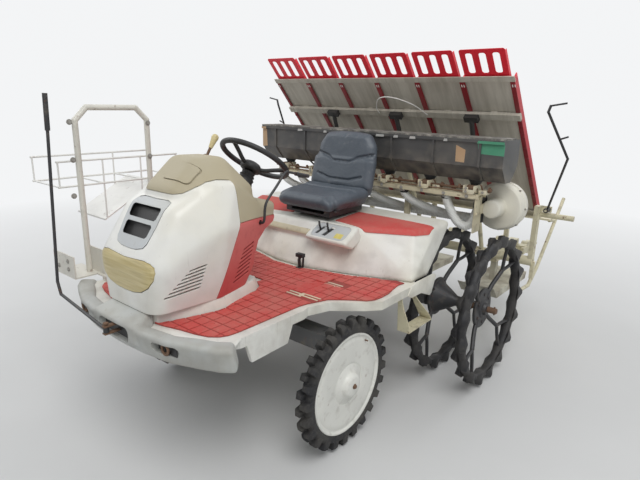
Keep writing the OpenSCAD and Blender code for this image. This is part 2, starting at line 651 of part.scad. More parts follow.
module hopper_stand() color("#c9c1a6") frame() {
  // a folded bar under the metering units
  block([-768, bar_y[0], bar_z + bar_t - 4], [768, bar_y[1], bar_z + bar_t]);
  for (y = [bar_y[0], bar_y[1] - 4]) block([-768, y, bar_z], [768, y + 4, bar_z + bar_t - 4]);
  both() block([270, 20, rail_top], [300, 50, bar_z + bar_t - 4]);
  both() block([rail_x, 20, rail_top - 60], [300, 50, rail_top]);
  // the end plate that the blower hangs on
  block([745, -40, 880], [751, bar_y[1] - 4, bar_z + bar_t - 4]);
}
module metering_units() color("#d8d2b8") frame()
  for (i = [0 : rows - 1]) translate([(i - (rows - 1) / 2) * unit_pitch, 0, 0]) {
    block([-unit_half, -60, bar_z + bar_t], [unit_half, 56, 1156]);
    block([-unit_half + 8, 4, 1156], [unit_half - 8, 56, 1175]);
    // the drive's crank and its box between the units
    block([unit_half, -30, bar_z + bar_t], [unit_half + 70, 30, 1132]);
    translate([unit_half + 70, 0, 1122]) rotate([0, 90, 0]) cylinder(h = 40, r = 9);
  }
hose_r = 17;
duct_y = 130;
duct_z = 930;
duct_r = 26;
elbow_x = 705;
module hoses() color("#d8d8d2") frame() {
  // the air duct across the machine, and its elbow to the blower
  bent_bar([[-720, duct_y, duct_z], [elbow_x, duct_y, duct_z], [elbow_x, duct_y, blow_z + 16], [elbow_x, blower_y[0] - 0.3, blow_z + 16]], duct_r);
  // a hose from each unit, down to the duct
  for (x = [-740, -564, -282, 0, 282])
    bent_bar([[x, -14, bar_z + bar_t - 4.3], [x, -14, 1036], [x + 110, 50, 978], [x + 200, duct_y - 10, 938]], hose_r);
  bent_bar([[564, -14, bar_z + bar_t - 4.3], [564, -14, 1036], [625, 10, 928], [650, 22, 905], [676, 34, 896], [700, 50, 910], [706, 66, 950],
    [elbow_x, duct_y, 985]], hose_r);
}
blower_y = [170, 300];
module blower() color("#dcdad0") frame() translate([blow_x, 0, blow_z]) rotate([-90, 0, 0]) {
  translate([0, 0, blower_y[0]]) cylinder(h = 18, r = 128);
  translate([0, 0, blower_y[0] + 18]) cylinder(h = blower_y[1] - blower_y[0] - 36, r = 140);
  translate([0, 0, blower_y[1] - 18]) cylinder(h = 18, r = 128);
  translate([0, 0, 60]) cylinder(h = blower_y[0] - 60, r = 54);
  // its foot against the end plate
  block([751.3 - blow_x, -50, -30], [757 - blow_x, 20, blower_y[0] + 2]);
}

// Lift and planting section

module link_bar(width) {
  rod([0, pin_y, pin_z], [0, hitch_y, hitch_z], 17);
  for (p = [[pin_y, pin_z], [hitch_y, hitch_z]])
    translate([0, p[0], p[1]]) rotate([0, 90, 0]) cylinder(h = width, r = 26, center = true);
}
module lower_links() color("#2b2b2b") frame() {
  both() translate([link_x, 0, 0]) {
    link_bar(46);
    for (p = [[pin_y, pin_z], [hitch_y, hitch_z]])
      translate([0, p[0], p[1]]) rotate([0, 90, 0]) cylinder(h = 70, r = pin_r, center = true);
  }
  translate([0, (pin_y + hitch_y) / 2, (pin_z + hitch_z) / 2]) rotate([0, 90, 0])
    cylinder(h = 2 * link_x, r = 14, center = true);
}
module upper_link() color("#2b2b2b") frame() translate([0, 0, pin_rise]) difference() {
  union() {
    link_bar(54);
    translate([0, pin_y, pin_z]) rotate([0, 90, 0]) cylinder(h = 78, r = pin_r, center = true);
  }
  // the linkage's open pivot: the hitch's pin passes here with clearance
  translate([0, hitch_y, hitch_z]) rotate([0, 90, 0]) cylinder(h = 80, r = pin_r + 2, center = true);
}
roller_x = [-560, -20, 520];
roller_u = 265; // how far down the table its rollers run
tube_y = beam_y + 55;
tube_z = marker_z - 44;
rail_drop = 8.6; // the lower rail stands this far under the table's edge
module planting_frame() color("#d3cdb4") frame() {
  // hitch ears
  both() difference() {
    for (x = [link_x - 34, link_x + 24])
      block([x, hitch_y - 30, hitch_z - 30], [x + 10, beam_y, hitch_z + pin_rise + 30]);
    translate([0, hitch_y, hitch_z]) rotate([0, 90, 0]) cylinder(h = 400, r = pin_r + run, center = true);
  }
  both() block([28, hitch_y - 30, hitch_z + pin_rise - 30], [38, hitch_y + 44, hitch_z + pin_rise + 30]);
  both() block([38, hitch_y + 34, hitch_z + pin_rise - 30], [link_x - 34, hitch_y + 44, hitch_z + pin_rise + 30]);
  translate([0, hitch_y, hitch_z + pin_rise]) rotate([0, 90, 0]) cylinder(h = 66, r = pin_r, center = true);
  translate([-beam_half, beam_y, beam_z]) rotate([0, 90, 0]) cylinder(h = 2 * beam_half, r = beam_r);
  // planting cases
  for (x = case_x) difference() {
    block([x - 32, beam_y, rotor_z - 45], [x + 32, rotor_y + 45, rotor_z + 45]);
    translate([x, rotor_y, rotor_z]) rotate([0, 90, 0]) cylinder(h = 100, r = 16 + run, center = true);
  }
  // posts that carry the table's rollers, and the rollers
  for (x = roller_x) {
    translate([0, table_y, table_z]) rotate([-table_angle, 0, 0]) {
      block([x - 45, roller_u - 20, -62], [x + 45, roller_u + 20, -table_rail - 0.3]);
    }
    rod([x == roller_x[1] ? 60 : x, beam_y, beam_z], on_slope(x, roller_u + 8, -50), 15);
  }
  // lower rail under the table's foot
  for (x = case_x) block([x - 15, table_foot_y - 40, rotor_z + 45], [x + 15, table_foot_y - 10, table_foot_z - rail_drop - 12]);
  block([-900, table_foot_y - 50, table_foot_z - rail_drop - 12], [900, table_foot_y + 10, table_foot_z - rail_drop]);
  // a guard rod round each end, and a tube beside the marker's foot
  both() {
    bent_bar([[885, 520, 415], [885, 690, 405], [885, 835, 495], [885, 1300, 925]], 12);
    block([beam_half - 10, beam_y - 14, 440], [beam_half + 14, beam_y + 14, beam_z]);
    rod([885, table_foot_y - 20, table_foot_z - rail_drop - 16], [885, 1150, 786], 10);
    block([beam_half - 30, beam_y + 20, tube_z - 20], [beam_half, tube_y + 10, tube_z + 20]);
    rod([beam_half - 26, tube_y, tube_z], [1082, tube_y, tube_z], 18);
  }
  // marker posts, each with its pin
  both() {
    block([beam_half - 30, beam_y - 25, beam_z], [beam_half, beam_y + 25, marker_z + 20]);
    block([beam_half, beam_y + 31, marker_z - 20], [marker_x + 20, beam_y + 41, marker_z + 20]);
    block([beam_half - 30, beam_y + 25, marker_z - 20], [beam_half, beam_y + 41, marker_z + 20]);
    translate([marker_x, beam_y + 36, marker_z]) rotate([90, 0, 0]) cylinder(h = 70, r = 8);
  }
}
module floats() color("#e0ddd0") frame() {
  for (x = case_x) {
    side([[480, 395], [560, 306], [1140, 300], [1160, 350], [560, 350]], x - 130, x + 130);
    block([x - 20, beam_y + 40, 345], [x + 20, beam_y + 80, rotor_z - 45]);
  }
}
module rotor(x) translate([x, rotor_y, rotor_z]) {
  rotate([0, 90, 0]) cylinder(h = 240, r = 16, center = true);
  for (s = [-1, 1]) translate([s * 100, 0, 0]) {
    rotate([0, 90, 0]) cylinder(h = 50, r = 46, center = true);
    block([-25, -110, -30], [25, 110, 30]);
    for (t = [-1, 1]) rotate([t == 1 ? 0 : 180, 0, 0]) {
      block([25 * s - 10, 60, -24], [25 * s + 10, claw_reach - 30, 24]);
      block([25 * s - 8, claw_reach - 30, -6], [25 * s + 8, claw_reach, 6]);
    }
  }
}
module rotor_left() color("#cfcaa8") frame() rotor(case_x[2]);
module rotor_centre() color("#cfcaa8") frame() rotor(case_x[1]);
module rotor_right() color("#cfcaa8") frame() rotor(case_x[0]);

module on_table() translate([-table_shift, table_y, table_z]) rotate([-table_angle, 0, 0]) children();
module seedling_table() color("#8d857d") frame() on_table() {
  for (i = [0 : rows - 1]) translate([(i - rows / 2) * row_pitch, 0, 0])
    block([divider_t / 2 + 0.3, 0, 0], [row_pitch - divider_t / 2 - 0.3, table_len, 3]);
  // the channel that runs on the rollers
  block([-table_w / 2 - 12, roller_u - 22, -table_rail], [table_w / 2 + 12, roller_u + 22, -divider_low]);
  // the foot's and the top's rails
  block([-table_w / 2 - 12, table_len - 60, -12], [table_w / 2 + 12, table_len, -divider_low]);
  block([-table_w / 2 - 12, -22, -12], [table_w / 2 + 12, 14, -divider_low]);
  for (i = [0 : rows - 1], u = [0, roller_u - 22, table_len - 60]) translate([(i - rows / 2 + 0.5) * row_pitch, u, 0])
    block([-20, 0, -12], [20, 14, 1]);
}
divider_t = 16;
divider_low = 6;   // how far the dividers' feet reach below the sheets
extension = [262, 196, 3]; // a frame above the table: width, height, thickness
module table_dividers() color("#b23336") frame() on_table() {
  for (i = [0 : rows]) {
    block([(i - rows / 2) * row_pitch - divider_t / 2, 0, -divider_low + 0.3], [(i - rows / 2) * row_pitch + divider_t / 2, table_len, 12]);
    block([(i - rows / 2) * row_pitch - 3, 0, 12], [(i - rows / 2) * row_pitch + 3, table_len, 50]);
  }
  // six slotted frames above the table's top edge
  for (i = [0 : rows - 1]) translate([(i - rows / 2 + 0.5) * row_pitch, 0, 3.3]) difference() {
    union() {
      translate([0, -extension.y / 2 + 18, 0]) linear_extrude(extension.z) offset_frame(extension.x, extension.y + 36);
      for (x = [-extension.x / 2, extension.x / 2 - 4]) block([x, -extension.y + 20, 0], [x + 4, 34, 22]);
    }
    for (k = [-1 : 1]) translate([k * 78, -extension.y / 2 - 6, -1]) linear_extrude(30) offset_frame(40, extension.y - 62);
  }
}
// a rectangle with round corners, made of a cross and four circles
module offset_frame(w, h) {
  r = 14;
  square([w, h - 2 * r], center = true);
  square([w - 2 * r, h], center = true);
  for (x = [-1, 1], y = [-1, 1]) translate([x * (w / 2 - r), y * (h / 2 - r)]) circle(r = r);
}

// bends of the marker rod, which leans forward past the table's side, and its two branches
fold_path = [[0, 0, 0], [162, -345, 373], [79, -545, 630], [89, -545, 666]];
fold_branches = [[[126, -431, 483], [170, -431, 500]], [[88, -545, 662], [168, -545, 677]]];
module side_marker() {
  difference() {
    union() {
      rotate([90, 0, 0]) cylinder(h = 60, r = 16, center = true);
      bent_bar(fold_path, 7);
      for (b = fold_branches) rod(b[0], b[1], 5);
    }
    rotate([90, 0, 0]) cylinder(h = 80, r = 8 + run, center = true);
  }
}
module side_marker_left() color("#1e1e1e") frame() translate([marker_x, beam_y, marker_z]) side_marker();
module side_marker_right() color("#1e1e1e") frame() translate([-marker_x, beam_y, marker_z]) mirror([1, 0, 0]) side_marker();

frame_rails();
engine_block();
front_axle_case();
rear_axle_case();
bonnet();
headlamp();
grille();
top_cover();
fuel_lid();
side_panels();
bumper();
centre_marker();
deck();
deck_mats();
rear_cover();
control_panel();
seat_base();
seat();
steering_column();
steering_wheel();
levers();
pedals();
rack_posts();
wire_rack();
step_brackets();
hopper();
hopper_lid();
hopper_stand();
metering_units();
hoses();
blower();
knuckle_left();
knuckle_right();
tyre_front_left();
tyre_front_right();
disc_front_left();
disc_front_right();
rear_wheels_left();
rear_wheels_right();
lower_links();
upper_link();
planting_frame();
floats();
rotor_left();
rotor_centre();
rotor_right();
seedling_table();
table_dividers();
side_marker_left();
side_marker_right();
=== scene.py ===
# %% [markdown]
# A riding rice transplanter, dressed for the camera. The CAD part gives every size and place, and this
# script gives the surfaces: moulded covers, worn rubber, faded red plastic, chalky hoses and black wheels.
# Each step says what the thing is on the real machine, how it could be made, and why this way was taken.

import json
import math

import bmesh
import bpy
import numpy as np
from mathutils import Matrix, Vector


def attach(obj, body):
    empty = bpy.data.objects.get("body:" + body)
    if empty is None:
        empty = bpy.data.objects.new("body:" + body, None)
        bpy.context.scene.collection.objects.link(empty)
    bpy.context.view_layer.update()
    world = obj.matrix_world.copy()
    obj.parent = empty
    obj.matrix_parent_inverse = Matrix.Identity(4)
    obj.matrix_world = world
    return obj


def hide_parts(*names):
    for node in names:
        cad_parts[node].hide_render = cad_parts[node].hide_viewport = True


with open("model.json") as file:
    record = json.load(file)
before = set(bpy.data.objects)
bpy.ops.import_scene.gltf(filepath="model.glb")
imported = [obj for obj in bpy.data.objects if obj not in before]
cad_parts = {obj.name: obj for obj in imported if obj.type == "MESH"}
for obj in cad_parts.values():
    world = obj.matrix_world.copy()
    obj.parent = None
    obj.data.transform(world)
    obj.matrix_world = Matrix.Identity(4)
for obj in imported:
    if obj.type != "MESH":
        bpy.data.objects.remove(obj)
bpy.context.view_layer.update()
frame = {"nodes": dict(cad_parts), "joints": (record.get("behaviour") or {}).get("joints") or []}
MM = 0.001

# %% [markdown]
# The part was drawn in millimetres with the rear axle at Y = 0, and then moved along Y. The steering
# wheel's joint was drawn at Y = -1030, so its place in the record gives that shift, and every length
# below can be written in the same millimetres as in the part.

# %% One ruler for CAD and scene
steering = next(j for j in frame["joints"] if j["name"] == "steering")
SHIFT = steering["pos_m"][1] + 1.030


def at(x, y, z):
    """A point of the part, in millimetres, as a vector in metres."""
    return Vector((x * MM, y * MM + SHIFT, z * MM))


print("shift along Y", round(SHIFT, 4))

# %% [markdown]
# The camera stands where the photograph was taken from: it was fitted to forty points of the machine.
# Its lens is given as a focal length in picture widths, so that it holds for any picture size.

# %% Camera
CAMERA_AT = at(1838.1, -2742.0, 1579.6)
YAW, PITCH, ROLL = (math.radians(a) for a in (39.10, 15.24, 1.335))
FOCAL_IN_WIDTHS = 506.77 / 640

forward = Vector((-math.sin(YAW) * math.cos(PITCH), math.cos(YAW) * math.cos(PITCH), -math.sin(PITCH)))
level = Vector((math.cos(YAW), math.sin(YAW), 0))
above = level.cross(forward)
right = level * math.cos(ROLL) + above * math.sin(ROLL)
up = above * math.cos(ROLL) - level * math.sin(ROLL)
camera = bpy.data.objects.new("camera", bpy.data.cameras.new("camera"))
camera.data.sensor_width = 36
camera.data.lens = 36 * FOCAL_IN_WIDTHS
camera.matrix_world = Matrix.Translation(CAMERA_AT) @ Matrix((right, up, -forward)).transposed().to_4x4()
bpy.context.scene.collection.objects.link(camera)
bpy.context.scene.camera = camera
bpy.context.scene.view_settings.view_transform = "Standard"
print("lens", round(camera.data.lens, 2), "mm")

# %% [markdown]
# A material here is a stack: a base colour, then layers that each cover part of what lies below.
# A layer's mask is noise, streaks, height or the distance to an edge. One small class keeps the wiring
# out of the way, so that each finish can be written in a few lines of a maker's words.

# %% A small toolbox for finishes


class Finish:
    """A Principled material whose colour, roughness and bump are built up in layers."""

    def __init__(self, name, colour, roughness=0.5, metallic=0.0, **sockets):
        self.material = bpy.data.materials.new(name)
        self.material.use_nodes = True
        self.nodes = self.material.node_tree.nodes
        self.links = self.material.node_tree.links
        self.shader = self.nodes["Principled BSDF"]
        self.shader.inputs["Metallic"].default_value = metallic
        for socket, value in sockets.items():
            self.shader.inputs[socket.replace("_", " ")].default_value = value
        self.place = self.add("ShaderNodeTexCoord").outputs["Object"]
        self.colour = (*colour, 1)
        self.roughness = roughness
        self.height = None

    def add(self, kind, **settings):
        node = self.nodes.new(kind)
        for key, value in settings.items():
            setattr(node, key, value)
        return node

    def put(self, socket, value):
        """Links an output to a socket, or writes a plain value into it."""
        if isinstance(value, bpy.types.NodeSocket):
            self.links.new(value, socket)
        else:
            socket.default_value = value

    def math(self, operation, a, b=0.0):
        node = self.add("ShaderNodeMath", operation=operation, use_clamp=True)
        self.put(node.inputs[0], a)
        self.put(node.inputs[1], b)
        return node.outputs[0]

    def ramp(self, value, low, high):
        """0 below low, 1 above high."""
        node = self.add("ShaderNodeMapRange", clamp=True)
        self.put(node.inputs["Value"], value)
        node.inputs["From Min"].default_value = low
        node.inputs["From Max"].default_value = high
        return node.outputs["Result"]

    def textured(self, kind, scale, stretch):
        """A texture node that follows the piece's own coordinates."""
        turn = self.add("ShaderNodeMapping")
        self.links.new(self.place, turn.inputs["Vector"])
        turn.inputs["Scale"].default_value = stretch
        node = self.add(kind)
        node.inputs["Scale"].default_value = scale
        self.links.new(turn.outputs[0], node.inputs["Vector"])
        return node

    def noise(self, scale, low=0.0, high=1.0, detail=4.0, stretch=(1, 1, 1)):
        """A noise mask; stretch draws it out into grain or streaks."""
        node = self.textured("ShaderNodeTexNoise", scale, stretch)
        node.inputs["Detail"].default_value = detail
        return self.ramp(node.outputs[0], low, high)

    def cells(self, scale, low, high, stretch=(1, 1, 1)):
        """A mask of specks: 1 in the middle of each cell."""
        node = self.textured("ShaderNodeTexVoronoi", scale, stretch)
        return self.ramp(node.outputs["Distance"], high, low)

    def axis(self, which):
        split = self.add("ShaderNodeSeparateXYZ")
        self.links.new(self.place, split.inputs[0])
        return split.outputs[which]

    def edges(self, radius):
        """A mask of the piece's sharp edges, where handling wears the colour."""
        bevel = self.add("ShaderNodeBevel", samples=4)
        bevel.inputs["Radius"].default_value = radius
        dot = self.add("ShaderNodeVectorMath", operation="DOT_PRODUCT")
        self.links.new(bevel.outputs[0], dot.inputs[0])
        self.links.new(self.add("ShaderNodeNewGeometry").outputs["Normal"], dot.inputs[1])
        return self.ramp(dot.outputs["Value"], 0.97, 0.86)

    def layer(self, mask, colour, roughness=None, amount=1.0):
        """Covers what lies below with a colour, where the mask says."""
        mask = self.math("MULTIPLY", mask, amount)
        mix = self.add("ShaderNodeMix", data_type="RGBA")
        self.put(mix.inputs["Factor"], mask)
        self.put(mix.inputs["A"], self.colour)
        self.put(mix.inputs["B"], (*colour, 1))
        self.colour = mix.outputs["Result"]
        if roughness is not None:
            blend = self.add("ShaderNodeMix", data_type="FLOAT")
            self.put(blend.inputs["Factor"], mask)
            self.put(blend.inputs["A"], self.roughness)
            self.put(blend.inputs["B"], roughness)
            self.roughness = blend.outputs["Result"]
        return self

    def bump(self, height, distance):
        node = self.add("ShaderNodeBump")
        node.inputs["Distance"].default_value = distance
        self.put(node.inputs["Height"], height)
        if self.height is not None:
            self.links.new(self.height, node.inputs["Normal"])
        self.height = node.outputs[0]
        return self

    def done(self):
        self.put(self.shader.inputs["Base Color"], self.colour)
        self.put(self.shader.inputs["Roughness"], self.roughness)
        if self.height is not None:
            self.links.new(self.height, self.shader.inputs["Normal"])
        return self.material


MUD = (0.23, 0.19, 0.14)
RUST = (0.16, 0.065, 0.03)
print("finish toolbox ready")

# %% [markdown]
# The white covers are gloss plastic that has stood outside for years: a little yellow, with soft grey
# grime that gathers low down, faint scratches, and duller patches where hands and boots rub.

# %% White and cream plastics


def moulded(name, colour, roughness, grime=0.35, grain=900, grain_height=0.00006):
    """A moulded cover with cloudy yellowing, grime low down and a fine grain."""
    f = Finish(name, colour, roughness, IOR=1.48)
    f.layer(f.noise(2.6, 0.42, 0.75), tuple(c * k for c, k in zip(colour, (0.97, 0.94, 0.86))))
    f.layer(f.noise(14, 0.56, 0.86, 6), tuple(c * 0.80 for c in colour), roughness + 0.18, grime)
    low = f.ramp(f.axis("Z"), 1.15, 0.55)
    f.layer(f.math("MULTIPLY", low, f.noise(9, 0.40, 0.72, 8)), MUD, 0.8, grime)
    f.layer(f.noise(60, 0.66, 0.72, 3, (1, 1, 0.06)), MUD, 0.7, grime * 0.35)
    f.bump(f.noise(grain), grain_height)
    return f.done()


WHITE = moulded("white cover", (0.78, 0.775, 0.735), 0.30, 0.30)
DECK_WHITE = moulded("white deck", (0.77, 0.765, 0.715), 0.36, 0.50)
BEIGE = moulded("beige cover", (0.44, 0.39, 0.275), 0.56, 0.20, 700, 0.00012)
GREY = moulded("grey plastic", (0.50, 0.52, 0.53), 0.42, 0.25)
BUMPER_GREY = moulded("bumper grey", (0.44, 0.45, 0.43), 0.48, 0.55, 600, 0.0001)
CREAM_PLASTIC = moulded("cream plastic", (0.66, 0.61, 0.46), 0.50, 0.60)
BLOWER_WHITE = moulded("blower white", (0.74, 0.72, 0.64), 0.46, 0.30)
FLOAT_WHITE = moulded("float white", (0.62, 0.60, 0.50), 0.60, 0.9)
print("moulded plastics", WHITE.name, DECK_WHITE.name, BEIGE.name, GREY.name)

# %% [markdown]
# Painted steel shows its history at the edges: the paint is thin there, so rust comes through first.
# The edge mask comes from a bevel probe, broken up with noise so that it doesn't look drawn.

# %% Painted steel


def painted(name, colour, roughness=0.42, rust=0.5, mud=0.4, edge=0.004, dark_above=None):
    f = Finish(name, colour, roughness, IOR=1.5)
    f.layer(f.noise(5, 0.45, 0.8), tuple(c * 0.86 for c in colour))
    f.layer(f.noise(22, 0.55, 0.8, 8), MUD, 0.85, mud)
    f.layer(f.noise(38, 0.64, 0.74, 8), RUST, 0.9, rust)
    worn = f.math("MULTIPLY", f.edges(edge), f.noise(70, 0.40, 0.62, 6))
    f.layer(worn, tuple(0.6 * c + 0.4 * r for c, r in zip(colour, RUST)), 0.85, min(1, rust * 1.6))
    if dark_above:
        f.layer(f.ramp(f.axis("Z"), dark_above, dark_above + 0.002), (0.035, 0.033, 0.031), 0.6)
    f.bump(f.noise(420, 0.2, 0.8), 0.00012)
    return f.done()


CREAM_STEEL = painted("cream steel", (0.66, 0.61, 0.43), 0.48, 0.65, 0.55)
PLANTING = painted("planting steel", (0.66, 0.61, 0.43), 0.48, 0.9, 0.75, dark_above=1.30)
BEIGE_STEEL = painted("beige steel", (0.60, 0.54, 0.38), 0.5, 0.8, 0.65)
WHITE_TUBE = painted("white tube", (0.70, 0.675, 0.60), 0.4, 0.55, 0.25)
WHITE_WIRE = painted("white wire", (0.80, 0.79, 0.75), 0.42, 0.3, 0.15)
BLACK_STEEL = painted("black steel", (0.028, 0.028, 0.030), 0.45, 0.5, 0.35)
CHASSIS = painted("chassis steel", (0.05, 0.05, 0.05), 0.55, 0.7, 0.7)
CAST_GREY = painted("cast grey", (0.10, 0.10, 0.10), 0.6, 0.5, 0.7)
DISC_WHITE = painted("wheel white", (0.74, 0.735, 0.68), 0.38, 0.35, 0.38)
RUSTY = painted("rusty steel", (0.15, 0.085, 0.05), 0.75, 0.9, 0.4)
ZINC = painted("dull zinc", (0.34, 0.33, 0.30), 0.45, 0.55, 0.3)
print("painted steels", CREAM_STEEL.name, BLACK_STEEL.name)

# %% [markdown]
# Rubber is never quite black: dust settles in it and it turns grey-brown. The red rubber mats are
# pressed with a grid of fine grooves, which the mats' own cell below makes as raised tiles.

# %% Rubber, vinyl, lens, smoked plastic


def rubber(name, colour, dust, amount, roughness=0.72):
    f = Finish(name, colour, roughness, IOR=1.45)
    f.layer(f.noise(7, 0.40, 0.80, 6), dust, 0.9, amount)
    f.layer(f.noise(55, 0.50, 0.80, 8), dust, 0.9, amount * 0.7)
    f.bump(f.noise(300, 0.3, 0.8), 0.0003)
    return f.done()


TYRE = rubber("tyre rubber", (0.020, 0.020, 0.022), (0.13, 0.12, 0.10), 0.55)
WHEEL_BLACK = rubber("rear wheel rubber", (0.022, 0.022, 0.024), (0.11, 0.10, 0.085), 0.40, 0.55)
BLACK_PLASTIC = rubber("black plastic", (0.020, 0.020, 0.021), (0.08, 0.075, 0.07), 0.30, 0.45)
RED_MAT = rubber("red mat", (0.56, 0.075, 0.065), (0.50, 0.24, 0.19), 0.55, 0.62)

f = Finish("seat vinyl", (0.070, 0.085, 0.104), 0.38, IOR=1.47)
f.layer(f.noise(5, 0.42, 0.75), (0.105, 0.122, 0.142), 0.46, 0.7)
f.layer(f.noise(40, 0.60, 0.80, 8), (0.24, 0.235, 0.22), 0.7, 0.30)
f.bump(f.cells(520, 0.0, 0.7), 0.00022)
f.bump(f.noise(24, 0.3, 0.8, 3), 0.0012)
VINYL = f.done()

f = Finish("yellowed lens", (0.50, 0.40, 0.17), 0.30, IOR=1.5, Coat_Weight=0.35, Coat_Roughness=0.25)
f.layer(f.noise(40, 0.35, 0.75, 5, (0.12, 1, 1.6)), (0.66, 0.57, 0.32), 0.42, 0.85)
f.layer(f.noise(90, 0.50, 0.78, 6, (0.08, 1, 1.3)), (0.30, 0.235, 0.10), 0.5, 0.55)
f.bump(f.noise(160, 0.3, 0.7, 3, (0.05, 1, 1)), 0.0002)
LENS = f.done()

f = Finish("smoked hopper", (0.062, 0.062, 0.062), 0.28, IOR=1.5, Coat_Weight=0.15)
f.layer(f.noise(3, 0.40, 0.75, 5, (1, 1, 0.5)), (0.13, 0.125, 0.115), 0.45, 0.7)
f.layer(f.noise(10, 0.55, 0.80, 8), (0.20, 0.18, 0.145), 0.75, 0.45)
low = f.ramp(f.axis("Z"), 1.33, 1.20)
f.layer(f.math("MULTIPLY", low, f.noise(18, 0.35, 0.7, 6)), (0.27, 0.24, 0.19), 0.85, 0.6)
f.bump(f.noise(200, 0.3, 0.8), 0.0001)
SMOKED = f.done()

f = Finish("weathered rim", (0.12, 0.115, 0.105), 0.7)
f.layer(f.noise(26, 0.45, 0.70, 8), (0.45, 0.43, 0.37), 0.9, 0.8)
f.layer(f.noise(90, 0.55, 0.75, 5), (0.06, 0.055, 0.05), 0.9, 0.7)
RIM = f.done()

f = Finish("seedling table sheet", (0.58, 0.54, 0.46), 0.55, IOR=1.45)
f.layer(f.noise(26, 0.36, 0.72, 8, (1, 0.10, 0.10)), (0.38, 0.345, 0.28), 0.7, 0.75)
f.layer(f.noise(90, 0.55, 0.80, 6, (1, 0.08, 0.08)), (0.70, 0.66, 0.58), 0.6, 0.55)
f.layer(f.noise(4, 0.48, 0.80, 6), (0.30, 0.265, 0.21), 0.8, 0.5)
f.bump(f.noise(170, 0.3, 0.7, 3, (1, 0.05, 0.05)), 0.0004)
TABLE = f.done()


def faded(name, colour, pale, roughness=0.45, painted_light_above=None):
    f = Finish(name, colour, roughness, IOR=1.48)
    f.layer(f.noise(3.2, 0.38, 0.75, 5), pale, roughness + 0.12, 0.7)
    f.layer(f.noise(30, 0.55, 0.85, 7), tuple(c * 0.6 for c in colour), roughness + 0.2, 0.4)
    f.layer(f.edges(0.003), pale, 0.7, 0.5)
    # painted light: above the given height the red turns bright, as if sky light shone through the thin
    # plastic
    if painted_light_above:
        f.layer(f.ramp(f.axis("Z"), painted_light_above, painted_light_above + 0.002), (0.84, 0.018, 0.04), 0.38, 0.85)
    f.bump(f.noise(500), 0.00008)
    return f.done()


RED_COVER = faded("faded red cover", (0.55, 0.085, 0.085), (0.66, 0.19, 0.17), 0.36)
# the table's red plastic turns bright above 1.735 m: painted light, as of sky light shining through it
RED_PLASTIC = faded("red table plastic", (0.52, 0.022, 0.036), (0.62, 0.06, 0.065), 0.40, painted_light_above=1.735)
print("rubber, vinyl, lens, smoked and faded plastics ready")

# %% [markdown]
# Most CAD nodes have the right shape and only need their finish. Their meshes are loose triangles, so
# a small Geometry Nodes tree welds them and shades them smooth up to an angle. It runs as a modifier,
# so the node's own mesh stays as the CAD made it.

# %% Weld and shade the CAD nodes
SMOOTH_ANGLE = math.radians(28)


def node_tree(name, **numbers):
    """A Geometry Nodes tree with its two ends and one number input for each keyword."""
    tree = bpy.data.node_groups.new(name, "GeometryNodeTree")
    new_socket = tree.interface.new_socket
    new_socket("Geometry", in_out="INPUT", socket_type="NodeSocketGeometry")
    for key, value in numbers.items():
        socket = new_socket(key.replace("_", " "), in_out="INPUT", socket_type="NodeSocketFloat")
        socket.default_value = value
    new_socket("Geometry", in_out="OUTPUT", socket_type="NodeSocketGeometry")
    return tree, tree.nodes.new("NodeGroupInput"), tree.nodes.new("NodeGroupOutput")


def wired(tree, *pairs):
    """Links outputs to inputs, given as pairs."""
    for source, target in pairs:
        tree.links.new(source, target)
    return tree


def shading_tree():
    tree, start, end = node_tree("weld and shade", Angle=SMOOTH_ANGLE)
    weld = tree.nodes.new("GeometryNodeMergeByDistance")
    weld.inputs["Distance"].default_value = 0.00002
    smooth, sharp = (tree.nodes.new("GeometryNodeSetShadeSmooth") for _ in range(2))
    smooth.domain = "FACE"
    sharp.domain = "EDGE"
    sharp.inputs["Shade Smooth"].default_value = False
    edge = tree.nodes.new("GeometryNodeInputMeshEdgeAngle")
    over = tree.nodes.new("FunctionNodeCompare")
    over.operation = "GREATER_THAN"
    return wired(tree, (start.outputs["Geometry"], weld.inputs["Geometry"]),
                 (weld.outputs["Geometry"], smooth.inputs["Geometry"]),
                 (smooth.outputs["Geometry"], sharp.inputs["Geometry"]),
                 (edge.outputs["Unsigned Angle"], over.inputs[0]), (start.outputs["Angle"], over.inputs[1]),
                 (over.outputs["Result"], sharp.inputs["Selection"]),
                 (sharp.outputs["Geometry"], end.inputs["Geometry"]))


SHADING = shading_tree()


def dress(node, material):
    """Gives a CAD node its finish and its smooth shading."""
    piece = frame["nodes"][node]
    piece.data.materials.clear()
    piece.data.materials.append(material)
    piece.modifiers.new("weld and shade", "NODES").node_group = SHADING


